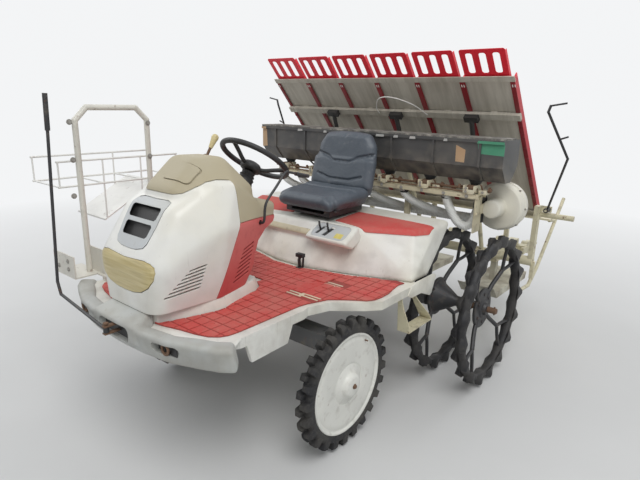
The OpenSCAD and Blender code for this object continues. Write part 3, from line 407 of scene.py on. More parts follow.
FINISHES = {
    "frame_rails": CHASSIS, "engine_block": CAST_GREY, "front_axle_case": CAST_GREY,
    "rear_axle_case": CAST_GREY, "knuckle_left": CAST_GREY, "knuckle_right": CAST_GREY,
    "bonnet": WHITE, "headlamp": LENS, "grille": GREY, "top_cover": BEIGE, "fuel_lid": BEIGE,
    "side_panels": RED_COVER, "bumper": BUMPER_GREY, "centre_marker": BLACK_STEEL, "deck": DECK_WHITE,
    "deck_mats": RED_MAT, "rear_cover": DECK_WHITE, "control_panel": GREY, "seat_base": BLACK_STEEL,
    "seat": VINYL, "steering_column": BLACK_PLASTIC, "steering_wheel": BLACK_PLASTIC, "levers": BLACK_STEEL,
    "pedals": BLACK_PLASTIC, "rack_posts": WHITE_TUBE, "wire_rack": WHITE_WIRE, "step_brackets": CREAM_STEEL,
    "hopper": SMOKED, "hopper_lid": RIM, "hopper_stand": BEIGE_STEEL, "metering_units": CREAM_PLASTIC,
    "hoses": BLOWER_WHITE, "blower": BLOWER_WHITE, "tyre_front_left": TYRE, "tyre_front_right": TYRE,
    "disc_front_left": DISC_WHITE, "disc_front_right": DISC_WHITE, "rear_wheels_left": WHEEL_BLACK,
    "rear_wheels_right": WHEEL_BLACK, "lower_links": BLACK_STEEL, "upper_link": BLACK_STEEL,
    "planting_frame": PLANTING, "floats": FLOAT_WHITE, "rotor_left": CREAM_STEEL,
    "rotor_centre": CREAM_STEEL, "rotor_right": CREAM_STEEL, "seedling_table": TABLE,
    "table_dividers": RED_PLASTIC, "side_marker_left": BLACK_STEEL, "side_marker_right": BLACK_STEEL,
}
for node, material in FINISHES.items():
    dress(node, material)
print("dressed", len(FINISHES), "of", len(frame["nodes"]))

# %% [markdown]
# The ground is a plain pale floor, and the light is soft and even, as under a bright grey sky. The
# background is white to the camera and to reflections, while the lamps give the object its light.

# %% Floor, sky and lamps
WORLD_LIGHT = 0.50
floor_mesh = bpy.data.meshes.new("floor")
floor_mesh.from_pydata([(-60, -60, 0), (60, -60, 0), (60, 60, 0), (-60, 60, 0)], [], [(0, 1, 2, 3)])
floor = bpy.data.objects.new("floor", floor_mesh)
bpy.context.scene.collection.objects.link(floor)
f = Finish("pale floor", (0.66, 0.66, 0.65), 0.9)
f.layer(f.noise(2, 0.4, 0.7), (0.63, 0.63, 0.62), 0.9, 0.5)
floor_mesh.materials.append(f.done())
# far from the machine the floor turns into the white of the background
distance = f.add("ShaderNodeVectorMath", operation="LENGTH")
f.links.new(f.place, distance.inputs[0])
far = f.ramp(distance.outputs["Value"], 2.2, 6.5)
glow = f.add("ShaderNodeEmission")
glow.inputs["Color"].default_value = (0.90, 0.91, 0.92, 1)
camera_ray = f.add("ShaderNodeLightPath").outputs["Is Camera Ray"]
fade = f.add("ShaderNodeMixShader")
f.put(fade.inputs[0], f.math("MULTIPLY", far, camera_ray))
f.links.new(f.shader.outputs[0], fade.inputs[1])
f.links.new(glow.outputs[0], fade.inputs[2])
f.links.new(fade.outputs[0], f.nodes["Material Output"].inputs["Surface"])

world = bpy.data.worlds.new("soft sky")
bpy.context.scene.world = world
world.use_nodes = True
sky = world.node_tree
paths = sky.nodes.new("ShaderNodeLightPath")
seen = sky.nodes.new("ShaderNodeMath")
seen.operation = "MAXIMUM"
light = sky.nodes["Background"]
light.inputs["Color"].default_value = (0.93, 0.96, 1.0, 1)
light.inputs["Strength"].default_value = WORLD_LIGHT
white = sky.nodes.new("ShaderNodeBackground")
white.inputs["Color"].default_value = (0.90, 0.91, 0.92, 1)
mix = sky.nodes.new("ShaderNodeMixShader")
sky.links.new(paths.outputs["Is Camera Ray"], seen.inputs[0])
sky.links.new(paths.outputs["Is Glossy Ray"], seen.inputs[1])
sky.links.new(seen.outputs[0], mix.inputs[0])
sky.links.new(light.outputs[0], mix.inputs[1])
sky.links.new(white.outputs[0], mix.inputs[2])
sky.links.new(mix.outputs[0], sky.nodes["World Output"].inputs["Surface"])


def lamp(name, place, aim, power, size):
    data = bpy.data.lights.new(name, "AREA")
    data.energy = power
    data.shape = "DISK"
    data.size = size
    lamp_object = bpy.data.objects.new(name, data)
    lamp_object.location = place
    lamp_object.rotation_euler = (Vector(aim) - Vector(place)).to_track_quat("-Z", "Y").to_euler()
    bpy.context.scene.collection.objects.link(lamp_object)


lamp("key", (3.5, -3.0, 6.5), (0, 0, 0.8), 250, 4.5)
lamp("fill", (-5.0, -2.0, 4.5), (0, 0, 0.8), 90, 5.0)
lamp("back", (0.5, 6.0, 5.0), (0, 0, 0.8), 120, 5.0)
print("floor and lamps set")

# %% [markdown]
# Soft moulded forms come next: the hood, the pedestal, the bumper and the seat. Each could be pushed and
# pulled by hand, but here it is a few groups of balls. The hull of each group is taken, all hulls are
# fused by a voxel remesh, and the skin is relaxed, which gives the generous radii of moulded plastic.

# %% Tools for moulded forms


def new_object(name, mesh):
    obj = bpy.data.objects.new(name, mesh)
    bpy.context.scene.collection.objects.link(obj)
    return obj


def baked(obj):
    """Turns an object's modifiers into plain mesh."""
    bpy.context.view_layer.update()
    graph = bpy.context.evaluated_depsgraph_get()
    mesh = bpy.data.meshes.new_from_object(obj.evaluated_get(graph))
    obj.modifiers.clear()
    old, obj.data = obj.data, mesh
    if old.users == 0:
        bpy.data.meshes.remove(old)
    return obj


def run_tree(obj, tree, **values):
    """Runs a node tree on an object, sets its inputs by their names and keeps the plain mesh."""
    step = obj.modifiers.new(tree.name, "NODES")
    step.node_group = tree
    names = {s.name: s.identifier for s in tree.interface.items_tree if s.in_out == "INPUT"}
    for key, value in values.items():
        step[names[key.replace("_", " ")]] = value
    return baked(obj)


def object_from(bm, name):
    """A new object from a bmesh, with its faces turned outwards."""
    bmesh.ops.recalc_face_normals(bm, faces=bm.faces)
    mesh = bpy.data.meshes.new(name)
    bm.to_mesh(mesh)
    bm.free()
    return new_object(name, mesh)


def hulled(bm, points):
    """Closes points of a bmesh with their convex hull, and drops those inside it."""
    result = bmesh.ops.convex_hull(bm, input=points)
    inner = [e for e in result["geom_interior"] if isinstance(e, bmesh.types.BMVert)]
    bmesh.ops.delete(bm, geom=inner, context="VERTS")


def spanning(groups):
    """Each group of balls with its mirror image: one hull reaches across the middle."""
    return [[(x * side, y, z, radius) for x, y, z, radius in balls for side in (1, -1)] for balls in groups]


def paired(groups):
    """Each group of balls twice, once on each side: two hulls."""
    return [[(x * side, y, z, radius) for x, y, z, radius in balls] for balls in groups for side in (1, -1)]


def soft_form(name, groups, voxel=8, rounds=10, detail=3):
    """Fuses the hulls of groups of balls (x, y, z, radius in mm) and relaxes the skin."""
    whole = bmesh.new()
    for balls in groups:
        hull = bmesh.new()
        for x, y, z, radius in balls:
            place = Matrix.Translation(at(x, y, z))
            bmesh.ops.create_icosphere(hull, subdivisions=detail, radius=radius * MM, matrix=place)
        hulled(hull, hull.verts)
        part = bpy.data.meshes.new("hull")
        hull.to_mesh(part)
        hull.free()
        whole.from_mesh(part)
        bpy.data.meshes.remove(part)
    obj = object_from(whole, name)
    remesh = obj.modifiers.new("remesh", "REMESH")
    remesh.mode = "VOXEL"
    remesh.voxel_size = voxel * MM
    relax = obj.modifiers.new("relax", "SMOOTH")
    relax.factor = 0.5
    relax.iterations = rounds
    return baked(obj)


def plate(name, outline, place, low, high):
    """A plate with a given outline; place turns (x, y, z) of its own frame into part millimetres."""
    bm = bmesh.new()
    ends = [[bm.verts.new(at(*place(x, y, z))) for x, y in outline] for z in (low, high)]
    bm.faces.new(list(reversed(ends[0])))
    bm.faces.new(ends[1])
    for i in range(len(outline)):
        j = (i + 1) % len(outline)
        bm.faces.new((ends[0][i], ends[0][j], ends[1][j], ends[1][i]))
    return object_from(bm, name)


ACROSS = {"X": lambda a, b, t: (t, a, b), "Y": lambda a, b, t: (a, t, b), "Z": lambda a, b, t: (a, b, t)}


def prism(points, axis, low, high):
    """A cutter with an outline across one axis: X takes (y, z), Y takes (x, z) and Z takes (x, y)."""
    return plate("cutter", points, ACROSS[axis], low, high)


def tilted(origin, degrees):
    """The place function of a frame that is turned about X and stands at origin."""
    c, s = math.cos(math.radians(degrees)), math.sin(math.radians(degrees))
    return lambda x, y, z: (origin[0] + x, origin[1] + y * c - z * s, origin[2] + y * s + z * c)


def around(count, closed=False):
    """Even angles of a full turn; a closed ring has its first angle again at the end."""
    return [2 * math.pi * k / count for k in range(count + closed)]


SIDES = ((1, "left"), (-1, "right"))


def carve(obj, cutter, operation="DIFFERENCE", keep=False):
    cut = obj.modifiers.new("cut", "BOOLEAN")
    cut.operation = operation
    cut.solver = "EXACT"
    cut.object = cutter
    baked(obj)
    if not keep:
        bpy.data.objects.remove(cutter)
    return obj


def copy_of(obj, name, grow=0.0):
    """A copy, with its skin moved outwards by a few millimetres."""
    twin = new_object(name, obj.data.copy())
    if grow:
        push = twin.modifiers.new("push", "DISPLACE")
        push.strength = grow * MM
        push.mid_level = 0
        baked(twin)
    return twin


def ready(obj, body, material, slot, replaces=(), angle=32, bevel=0, segments=2):
    """Finishes a piece: soft edges, smooth shading, material and body; the slot is not used."""
    if bevel:
        edge = obj.modifiers.new("edges", "BEVEL")
        edge.width = bevel * MM
        edge.segments = segments
        edge.limit_method = "ANGLE"
        edge.angle_limit = math.radians(35)
        baked(obj)
    obj.data.shade_smooth()
    obj.data.set_sharp_from_angle(angle=math.radians(angle))
    obj.data.materials.clear()
    obj.data.materials.append(material)
    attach(obj, body)
    if replaces:
        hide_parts(*replaces)
    return obj


def finished(bm, name, *ways, **more):
    """A piece made from a bmesh and finished by ready."""
    return ready(object_from(bm, name), *ways, **more)


def both_sides(points):
    """The left half of an outline, from the middle outwards, and its mirror image."""
    return points + [(-x, y) for x, y in reversed(points) if x]


print("form tools ready")

# %% [markdown]
# The hood is one flowing shape that is split into five pieces by gap lines, as the real covers are. The
# form is made once, and each piece is that form cut by its own zone, so the surfaces run through.

# %% The hood's whole form
BODY = [(118, -1664, 700, 66), (146, -1656, 925, 80), (108, -1600, 700, 60), (176, -1580, 985, 66),
        (138, -1560, 1108, 64), (164, -1420, 700, 44), (214, -1420, 1060, 58), (160, -1405, 1205, 46),
        (166, -1318, 1206, 42), (196, -1330, 1060, 48), (140, -1300, 700, 40), (112, -1236, 740, 34),
        (140, -1214, 930, 40), (140, -1050, 1040, 30)]
DOME = [(74, -1500, 1195, 56), (142, -1440, 1200, 50), (58, -1404, 1290, 54), (64, -1292, 1288, 52),
        (140, -1300, 1204, 46), (120, -1180, 1185, 34), (128, -1180, 1100, 30)]
SHELF = [(146, -1050, 1096, 26), (140, -1050, 1060, 24), (166, -1300, 1090, 40), (160, -1200, 1100, 34)]
hood = soft_form("hood form", spanning([BODY, DOME, SHELF]), voxel=8, rounds=14)
print("hood form", len(hood.data.polygons), "faces")

# %% Gap lines of the hood, as side views of (y, z)
COVER_EDGE = [(-1800, 1204), (-1548, 1206), (-1524, 1211), (-1480, 1234), (-1436, 1252), (-1380, 1256),
              (-1313, 1249), (-1310, 1190), (-1320, 1073), (-1200, 1068), (-1010, 1054), (-900, 1048)]
BONNET_REAR = [(-1310, 1260), (-1310, 1190), (-1320, 1073), (-1352, 990), (-1388, 890), (-1440, 752)]
PANEL_REAR = [(-1202, 752), (-1180, 812), (-1184, 880), (-1164, 955), (-1112, 1000), (-1040, 1026),
              (-900, 1036)]
HOOD_FOOT = 752
HOOD_WIDTH = (-400, 400)
GAP = 3


def shifted(points, dy, dz):
    return [(y + dy, z + dz) for y, z in points]


cover_zone = COVER_EDGE + [(-900, 1500), (-1800, 1500)]
bonnet_zone = shifted(COVER_EDGE[:7], 0, -GAP) + shifted(BONNET_REAR[1:], -GAP, 0) + [(-1800, HOOD_FOOT)]
panel_zone = [(-1440, HOOD_FOOT)] + PANEL_REAR + [(-1010, 1051), (-1200, 1065), (-1319, 1070)] + \
    [(-1352, 990), (-1388, 890)]
LENS_EDGE = both_sides([(0, 960), (70, 964), (130, 968), (168, 963), (188, 950), (194, 930), (186, 900),
                        (160, 866), (116, 840), (60, 828), (0, 825)])
GRILLE_EDGE = both_sides([(0, 1176), (80, 1178), (110, 1172), (118, 1160), (116, 1090), (106, 1026),
                          (92, 1008), (50, 998), (0, 996)])
print("gap lines set")

# %% The bonnet, its lens, its grille and its louvres


def grown(points, amount):
    """Moves an outline outwards from its own middle."""
    mid_x = sum(p[0] for p in points) / len(points)
    mid_z = sum(p[1] for p in points) / len(points)
    return [(x + amount * math.copysign(1, x - mid_x) * min(1, abs(x - mid_x) / 30),
             z + amount * math.copysign(1, z - mid_z) * min(1, abs(z - mid_z) / 30)) for x, z in points]


bonnet = carve(copy_of(hood, "bonnet_moulding"), prism(bonnet_zone, "X", *HOOD_WIDTH), "INTERSECT")
inside_skin = copy_of(hood, "inside skin", -13)
carve(bonnet, inside_skin, keep=True)
carve(bonnet, prism(grown(LENS_EDGE, 2.5), "Y", -1900, -1640))
carve(bonnet, prism(grown(GRILLE_EDGE, 2.5), "Y", -1900, -1540))
LOUVRES = 7
for side in (1, -1):
    for i in range(LOUVRES):
        front, back = -1690 + 17 * i, -1528 + 4 * i
        low = 816 + 16 * i
        slot = [(front, low), (back, low + 12), (back + 2, low + 20), (front + 6, low + 8)]
        carve(bonnet, prism(slot, "X", 120 * side, 260 * side))
ready(bonnet, "chassis", WHITE, "white_cover", ["bonnet"], bevel=1.6)

lens = carve(copy_of(hood, "headlamp_lens", 1.5), prism(LENS_EDGE, "Y", -1900, -1655), "INTERSECT")
ready(lens, "chassis", LENS, "lamp_lens", ["headlamp"], bevel=2.5, segments=3)

grille = carve(copy_of(hood, "grille_panel", 2), prism(GRILLE_EDGE, "Y", -1900, -1520), "INTERSECT")
carve(grille, inside_skin, keep=True)
for low, high, half in ((1040, 1090, 90), (1106, 1154, 100)):
    hole = both_sides([(0, high), (half - 8, high), (half, high - 8), (half - 4, low + 8), (half - 14, low),
                       (0, low)])
    carve(grille, prism(hole, "Y", -1900, -1500))
ready(grille, "chassis", GREY, "grey_plastic", ["grille"], bevel=3, segments=3)

top = carve(copy_of(hood, "top_cover_moulding"), prism(cover_zone, "X", *HOOD_WIDTH), "INTERSECT")
print("bonnet", len(bonnet.data.polygons), "lens", len(lens.data.polygons), "grille",
      len(grille.data.polygons))

# %% [markdown]
# The beige top cover has a lid over the fuel filler, with a pocket below it. The lid moves on its own
# body, so it is cut from the same skin, a little proud of it, and its gap line is cut into the cover.

# %% Top cover, fuel lid and red side panels
on_lid = tilted((56, -1477, 1288), 48)


def rounded_outline(half_x, half_y, radius, steps=6):
    """A rectangle with round corners, as a list of (x, y)."""
    points = []
    for cx, cy, start in ((1, 1, 0), (-1, 1, 90), (-1, -1, 180), (1, -1, 270)):
        for k in range(steps + 1):
            a = math.radians(start + 90 * k / steps)
            points.append((cx * (half_x - radius) + radius * math.cos(a),
                           cy * (half_y - radius) + radius * math.sin(a)))
    return points


lid = copy_of(hood, "fuel_lid_panel", 4.5)
carve(lid, copy_of(hood, "under the lid", 0.7))
carve(lid, plate("cutter", [(x, y - 3) for x, y in rounded_outline(72, 46, 18)], on_lid, -40, 60),
      "INTERSECT")
ring = plate("ring", [(x, y - 3) for x, y in rounded_outline(75, 49, 20)], on_lid, -40, 60)
carve(ring, plate("cutter", [(x, y - 3) for x, y in rounded_outline(71, 45, 17)], on_lid, -60, 80))
carve(ring, copy_of(hood, "under the ring", -5))
carve(top, ring)
on_steering = tilted((0, -1030, 1262), -35)  # z runs up the column
circle = [(46 * math.cos(math.radians(a)), 46 * math.sin(math.radians(a))) for a in range(0, 360, 10)]
carve(top, plate("cutter", circle, on_steering, -260, 120))
ready(top, "chassis", BEIGE, "beige_cover", ["top_cover"], bevel=2)

ready(lid, "fuel_lid", BEIGE, "beige_cover", ["fuel_lid"], bevel=1.2)

panels = carve(copy_of(hood, "side_panels_red"), prism(panel_zone, "X", *HOOD_WIDTH), "INTERSECT")
carve(panels, prism([(-1500, 700), (-900, 700), (-900, 1200), (-1500, 1200)], "X", -118, 118))
for side in (1, -1):
    for i in range(8):
        low = 792 + 20 * i
        front, back = -1338 + 8 * i, -1222 + 3 * i
        carve(panels, prism([(front, low), (back, low + 20), (back, low + 30), (front, low + 10)], "X",
                            100 * side, 300 * side))
lever_hole = [(-1162 + 13 * math.cos(a / 4), 1040 + 13 * math.sin(a / 4)) for a in range(0, 25)]
carve(panels, prism(lever_hole, "X", 100, 300))
ready(panels, "chassis", RED_COVER, "red_cover", ["side_panels"], bevel=1.6)

# A black body fills the hood inside its skin: painted shade behind the grille openings and the louvres.
shade_core_zone = [(-1760, 757), (-1206, 757), (-1190, 880), (-1170, 950), (-1110, 996), (-1060, 1018),
             (-1060, 1040), (-1320, 1044), (-1380, 1180), (-1760, 1180)]
core = carve(copy_of(hood, "hood_core", -20), prism(shade_core_zone, "X", *HOOD_WIDTH), "INTERSECT")
ready(core, "chassis", BLACK_PLASTIC, "black_plastic")
bpy.data.objects.remove(hood)
bpy.data.objects.remove(inside_skin)
print("top cover", len(top.data.polygons), "red panels", len(panels.data.polygons))

# %% [markdown]
# The bumper is a long curved wall with a rounded lower lip, two pockets with towing eyes and a deeper
# pocket for the centre marker. Its middle rises to the hood as a grey nose, and a white apron of the
# deck comes forward to it, with a thin gap between.

# %% Bumper, nose and apron
BUMPER_LINE = [(0, 0), (100, 2), (200, 9), (330, 29), (440, 70), (520, 105), (560, 136)]
BUMPER_Y = -1805


def bumper_groups(low, high, radius, inset):
    groups = []
    for (x0, y0), (x1, y1) in zip(BUMPER_LINE, BUMPER_LINE[1:]):
        balls = []
        for x, y in ((x0, y0), (x1, y1)):
            for z in (low, high):
                lip = 16 if z == low else 0
                height = z + (radius if z == low else -radius)
                for depth in (0, 34):
                    balls.append((max(0, x - inset - depth * (x > 400)), BUMPER_Y + y + radius + lip + depth,
                                  height, radius))
        groups.append(balls)
    return groups


NOSE = [[(150, -1790, 650, 12), (150, -1788, 706, 12), (124, -1722, 742, 9), (124, -1700, 742, 8),
         (150, -1722, 690, 10), (0, -1792, 650, 12), (0, -1790, 706, 12), (0, -1722, 742, 9)]]
bumper = soft_form("bumper_moulding", paired(bumper_groups(606, 712, 17, 17) + NOSE), 6, 4, detail=2)
for side in (1, -1):
    pocket = [(side * x, z) for x, z in rounded_outline(66, 21, 20)]
    pocket = [(x + side * 306, z + 668) for x, z in pocket]
    carve(bumper, prism(pocket, "Y", -1900, -1748))
pocket = [(x, z + 668) for x, z in rounded_outline(112, 34, 26)]
carve(bumper, prism(pocket, "Y", -1900, -1772))
ready(bumper, "chassis", BUMPER_GREY, "bumper_grey", ["bumper"], bevel=3)

APRON = [((126, -1772), (126, -1706)), ((260, -1762), (260, -1684)), ((395, -1728), (395, -1655)),
         ((500, -1680), (470, -1612)), ((528, -1640), (489, -1552))]  # (x, y) in front and behind
strips = [[(*point, height, 7) for pair in both for point, height in zip(pair, (690, 694))]
          for both in zip(APRON, APRON[1:])]
apron = soft_form("deck_apron", paired(strips), 4, 3, detail=2)
ready(apron, "chassis", DECK_WHITE, "white_cover")
print("bumper", len(bumper.data.polygons), "apron", len(apron.data.polygons))

# %% [markdown]
# Rods, tubes and wires are circles swept along a path, and a Catmull-Rom curve rounds the path where
# it has to. Knobs, bosses and hubs are profiles turned about a line. Both kinds are closed forms.

# %% Tubes and turned parts


def smooth_path(points, steps=8):
    """Catmull-Rom points through a path."""
    pts = [Vector(p) for p in points]
    pts = [pts[0] * 2 - pts[1]] + pts + [pts[-1] * 2 - pts[-2]]
    out = []
    for a, b, c, d in zip(pts, pts[1:], pts[2:], pts[3:]):
        for k in range(steps):
            t = k / steps
            bend, twist = 2 * a - 5 * b + 4 * c - d, 3 * b - a - 3 * c + d
            out.append(0.5 * ((2 * b) + (c - a) * t + bend * t * t + twist * t ** 3))
    out.append(pts[-2])
    return out


def tube_into(bm, path, radius, sides=12):
    """Sweeps a circle along a path of part millimetres, with closed ends."""
    pts = [Vector(p) for p in path]
    rings = []
    normal = None
    for i, p in enumerate(pts):
        ahead = (pts[min(i + 1, len(pts) - 1)] - pts[max(i - 1, 0)]).normalized()
        if normal is None:
            normal = ahead.orthogonal().normalized()
        normal = (normal - ahead * normal.dot(ahead)).normalized()
        side = ahead.cross(normal)
        rings.append([bm.verts.new(at(*(p + (normal * math.cos(a) + side * math.sin(a)) * radius)))
                      for a in around(sides)])
    for one, two in zip(rings, rings[1:]):
        for k in range(sides):
            bm.faces.new((one[k], one[(k + 1) % sides], two[(k + 1) % sides], two[k]))
    bm.faces.new(list(reversed(rings[0])))
    bm.faces.new(rings[-1])


def turned_into(bm, profile, place, sides=32):
    """Turns a profile of (radius, height); place takes (x, y, z) of its own frame to part millimetres."""
    rings = []
    for radius, height in profile:
        if radius < 0.01:
            rings.append([bm.verts.new(at(*place(0, 0, height)))])
        else:
            rings.append([bm.verts.new(at(*place(radius * math.cos(a), radius * math.sin(a), height)))
                          for a in around(sides)])
    for one, two in zip(rings, rings[1:]):
        for k in range(sides):
            quad = [one[k % len(one)], one[(k + 1) % len(one)], two[(k + 1) % len(two)], two[k % len(two)]]
            quad = list(dict.fromkeys(quad))
            if len(quad) > 2:
                bm.faces.new(quad)


def disc_into(bm, radius, low, high, place, sides=32):
    """A plain disc or rod between two heights."""
    turned_into(bm, [(0, low), (radius, low), (radius, high), (0, high)], place, sides)


def box_into(bm, low, high, place=ACROSS["Z"]):
    """A box between two corners, which may stand in a frame of its own."""
    xs, ys, zs = zip(low, high)
    v = [bm.verts.new(at(*place(x, y, z))) for x in xs for y in ys for z in zs]
    for quad in ((0, 1, 3, 2), (4, 6, 7, 5), (0, 4, 5, 1), (2, 3, 7, 6), (0, 2, 6, 4), (1, 5, 7, 3)):
        bm.faces.new([v[k] for k in quad])


def along_x(x, y, z):
    return lambda a, b, h: (x + h, y + a, z + b)


def along_y(x, y, z):
    return lambda a, b, h: (x + a, y + h, z + b)


def upright(x, y, z):
    return lambda a, b, h: (x + a, y + b, z + h)


bm = bmesh.new()
for side in (1, -1):
    ring = [(side * 306 + 20 * math.cos(a), -1764, 668 + 20 * math.sin(a)) for a in around(24, closed=True)]
    tube_into(bm, ring, 5.5, 10)
    tube_into(bm, [(side * 306, -1764, 650), (side * 306, -1744, 650)], 7, 10)
turned_into(bm, [(0, -22), (6, -22), (6, 24), (11, 25), (11, 31), (0, 32)], upright(0, -1830, 676), 16)
for z in (657, 688):
    box_into(bm, (-11, -1842, z), (11, -1768, z + 7))
hooks = finished(bm, "towing_eyes", "chassis", RUSTY, "bumper_grey", bevel=0.8)
print("towing eyes", len(hooks.data.polygons))

# %% [markdown]
# The pedestal carries the seat and ends in the two fenders over the rear wheels. Red rubber strips lie
# on its shoulders, a cream band runs across its front, and its lower skirts reach down before the wheels.

# %% Pedestal and fenders
R = 26
STEP = [(338, -664, 868, 12), (330, -626, 924, 14), (338, -600, 860, 12), (300, -560, 920, 14)]
PEDESTAL = [STEP, [(100, -735, 712, 12), (352, -664, 712, 12), (662, -546, 712, 12), (662, -394, 712, 12),
                   (112, -594, 939 - R, R), (338, -556, 939 - R, R), (590, -424, 944 - R, R),
                   (638, -330, 951 - R, R), (638, -176, 963 - R, R)]]
pedestal = soft_form("rear_cover_moulding", spanning(PEDESTAL), 9, 5)
skin = copy_of(pedestal, "skin")
INSIDE = [(100, -716, 690, 2), (345, -648, 690, 2), (650, -530, 690, 2), (650, -300, 690, 2),
          (112, -594, 925 - R, R), (336, -554, 925 - R, R), (584, -422, 930 - R, R),
          (628, -330, 937 - R, R), (628, -60, 949 - R, R), (628, -60, 720, 12)]
inner = soft_form("inner form", spanning([INSIDE]), 10, 2)
carve(pedestal, inner)
ready(pedestal, "chassis", DECK_WHITE, "white_cover", ["rear_cover"], bevel=1.5)

STRIP = [(163, -548), (250, -556), (330, -566), (400, -570), (470, -540), (540, -504), (600, -470),
         (636, -440), (652, -390), (655, -328), (600, -322), (163, -322)]
strip_skin = copy_of(skin, "strip skin", 4)
for side, word in SIDES:
    strip = copy_of(strip_skin, f"fender_mat_{word}")
    carve(strip, prism([(side * x, y) for x, y in STRIP], "Z", 918, 1000), "INTERSECT")
    ready(strip, "chassis", RED_MAT, "red_mat", bevel=1.5)
band = copy_of(skin, "pedestal_band", 1.2)
carve(band, prism([(-330, 866), (100, 866), (100, 898), (-330, 898)], "Y", -900, -600), "INTERSECT")
ready(band, "chassis", BEIGE_STEEL, "beige_cover", bevel=0.8)
for extra in (skin, strip_skin):
    bpy.data.objects.remove(extra)

skirt = [(-640, 660), (-600, 640), (-500, 638), (-402, 598), (-384, 606), (-345, 700), (-372, 712),
         (-560, 712), (-604, 700)]
for side, word in SIDES:
    flap = prism(skirt, "X", side * 690, side * 700)
    flap.name = f"fender_skirt_{word}"
    ready(flap, "chassis", DECK_WHITE, "white_cover", bevel=3)
print("pedestal", len(pedestal.data.polygons))

# %% [markdown]
# The console beside the seat is a raised white surround with a light grey plate let into it. Two black
# gates in the plate guide the levers, and a small yellowish field stays blank.

# %% Console
on_console = tilted((228, -672, 916), 31)  # x across, y up the slope, z out of it
CONSOLE_SIDE = [(-56, -15), (60, -15), (-20, -66), (56, -76)]
surround = [(*on_console(x, y, z), 14) for x in (-124, 124) for y, z in CONSOLE_SIDE]
console = soft_form("console_surround", [surround], 5, 5)
carve(console, plate("cutter", rounded_outline(114, 55, 30), on_console, -6, 30))
carve(console, plate("cutter", rounded_outline(100, 46, 20), on_console, -13, 30))
ready(console, "chassis", DECK_WHITE, "white_cover", bevel=1)
face = plate("console_plate", rounded_outline(112, 53, 29), on_console, -9, -3)
GATES = [[(-92, -32), (-70, -32), (-48, 30), (-70, 30)], [(-42, -38), (-14, -38), (14, 36), (-14, 36)]]
for gate in GATES:
    carve(face, plate("cutter", gate, on_console, -20, 20))
ready(face, "chassis", GREY, "panel_grey", ["control_panel"], bevel=0.8)
bm = bmesh.new()
for gate in GATES:
    mid = (sum(p[0] for p in gate) / 4, sum(p[1] for p in gate) / 4)
    box_into(bm, (mid[0] - 28, mid[1] - 44, -12), (mid[0] + 28, mid[1] + 44, -9.2), on_console)
    tube_into(bm, [on_console(mid[0] - 4, mid[1] + 4, -10), on_console(mid[0] - 8, mid[1] + 12, 18),
                   on_console(mid[0] - 14, mid[1] + 26, 34)], 5.5, 10)
finished(bm, "console_gates", "chassis", BLACK_PLASTIC, "black_plastic", bevel=0.6)
f = Finish("blank yellow field", (0.62, 0.52, 0.12), 0.5)
f.layer(f.noise(40, 0.4, 0.8), (0.70, 0.62, 0.30), 0.6, 0.7)
FIELD = f.done()
field = plate("console_field", rounded_outline(24, 18, 4), lambda x, y, z: on_console(x + 66, y - 22, z),
              -3.2, -2.2)
ready(field, "chassis", FIELD, "panel_grey")
bm = bmesh.new()
box_into(bm, (86, -792, 706), (116, -756, 712))
tube_into(bm, [(101, -774, 708), (101, -780, 752), (104, -776, 776)], 9, 10)
box_into(bm, (84, -792, 770), (132, -764, 790))
tube_into(bm, [(122, -772, 712), (124, -772, 772)], 6, 8)
finished(bm, "pedestal_latch", "chassis", BLACK_PLASTIC, "black_plastic", bevel=2)
print("console", len(console.data.polygons))

# %% [markdown]
# The seat is blown foam under vinyl. A pad swells when air is put into it, so a cloth simulation with
# pressure does what the foam does. Each pad starts as a slightly smaller block and is stepped twenty
# frames, and no point may move further than the cap. Seams come afterwards, as grooves in the mesh.

# %% Seat pads


def swollen(obj, cap, pressure=4.0):
    """Puffs a closed pad up with Cloth, and limits how far its points may move."""
    start = np.array([v.co[:] for v in obj.data.vertices])
    scene = bpy.context.scene
    cloth = obj.modifiers.new("cloth", "CLOTH")
    cloth.settings.use_pressure = True
    cloth.settings.uniform_pressure_force = pressure
    cloth.settings.effector_weights.gravity = 0
    cloth.settings.quality = 4
    cloth.point_cache.frame_start = 1
    cloth.point_cache.frame_end = 20
    for frame_number in range(1, 21):
        scene.frame_set(frame_number)
    baked(obj)
    moved = np.array([v.co[:] for v in obj.data.vertices]) - start
    far = np.linalg.norm(moved, axis=1, keepdims=True)
    limit = cap * MM
    moved *= np.minimum(1, limit / np.maximum(far, 1e-9))
    obj.data.vertices.foreach_set("co", (start + moved).ravel())
    scene.frame_set(1)
    return obj


def from_line(point, a, b):
    """The distance of a point from the line between a and b."""
    if (b - a).length == 0:
        return (point - a).length
    along = max(0, min(1, (point - a).dot(b - a) / (b - a).length_squared))
    return (point - (a + (b - a) * along)).length


def groove(obj, paths, width, depth, facing):
    """Presses seams into a pad: paths are lists of (x, z) or (x, y) points seen along the facing axis."""
    drop = {"Y": 1, "Z": 2}[facing[-1]]
    sign = -1 if facing[0] == "-" else 1
    keep = [k for k in range(3) if k != drop]
    for v in obj.data.vertices:
        if v.normal[drop] * sign < 0.25:
            continue
        point = Vector((v.co[keep[0]], v.co[keep[1]]))
        nearest = min(from_line(point, a, b) for path in paths for a, b in zip(path, path[1:]))
        if nearest < width * MM * 2:
            v.co -= v.normal * depth * MM * math.exp(-(nearest / (width * MM)) ** 2)


def seen(points, axis):
    """Part millimetres as the two coordinates that stay when one axis is dropped."""
    if axis == "Y":
        return [Vector((x * MM, z * MM)) for x, z in points]
    return [Vector((x * MM, y * MM + SHIFT)) for x, y in points]


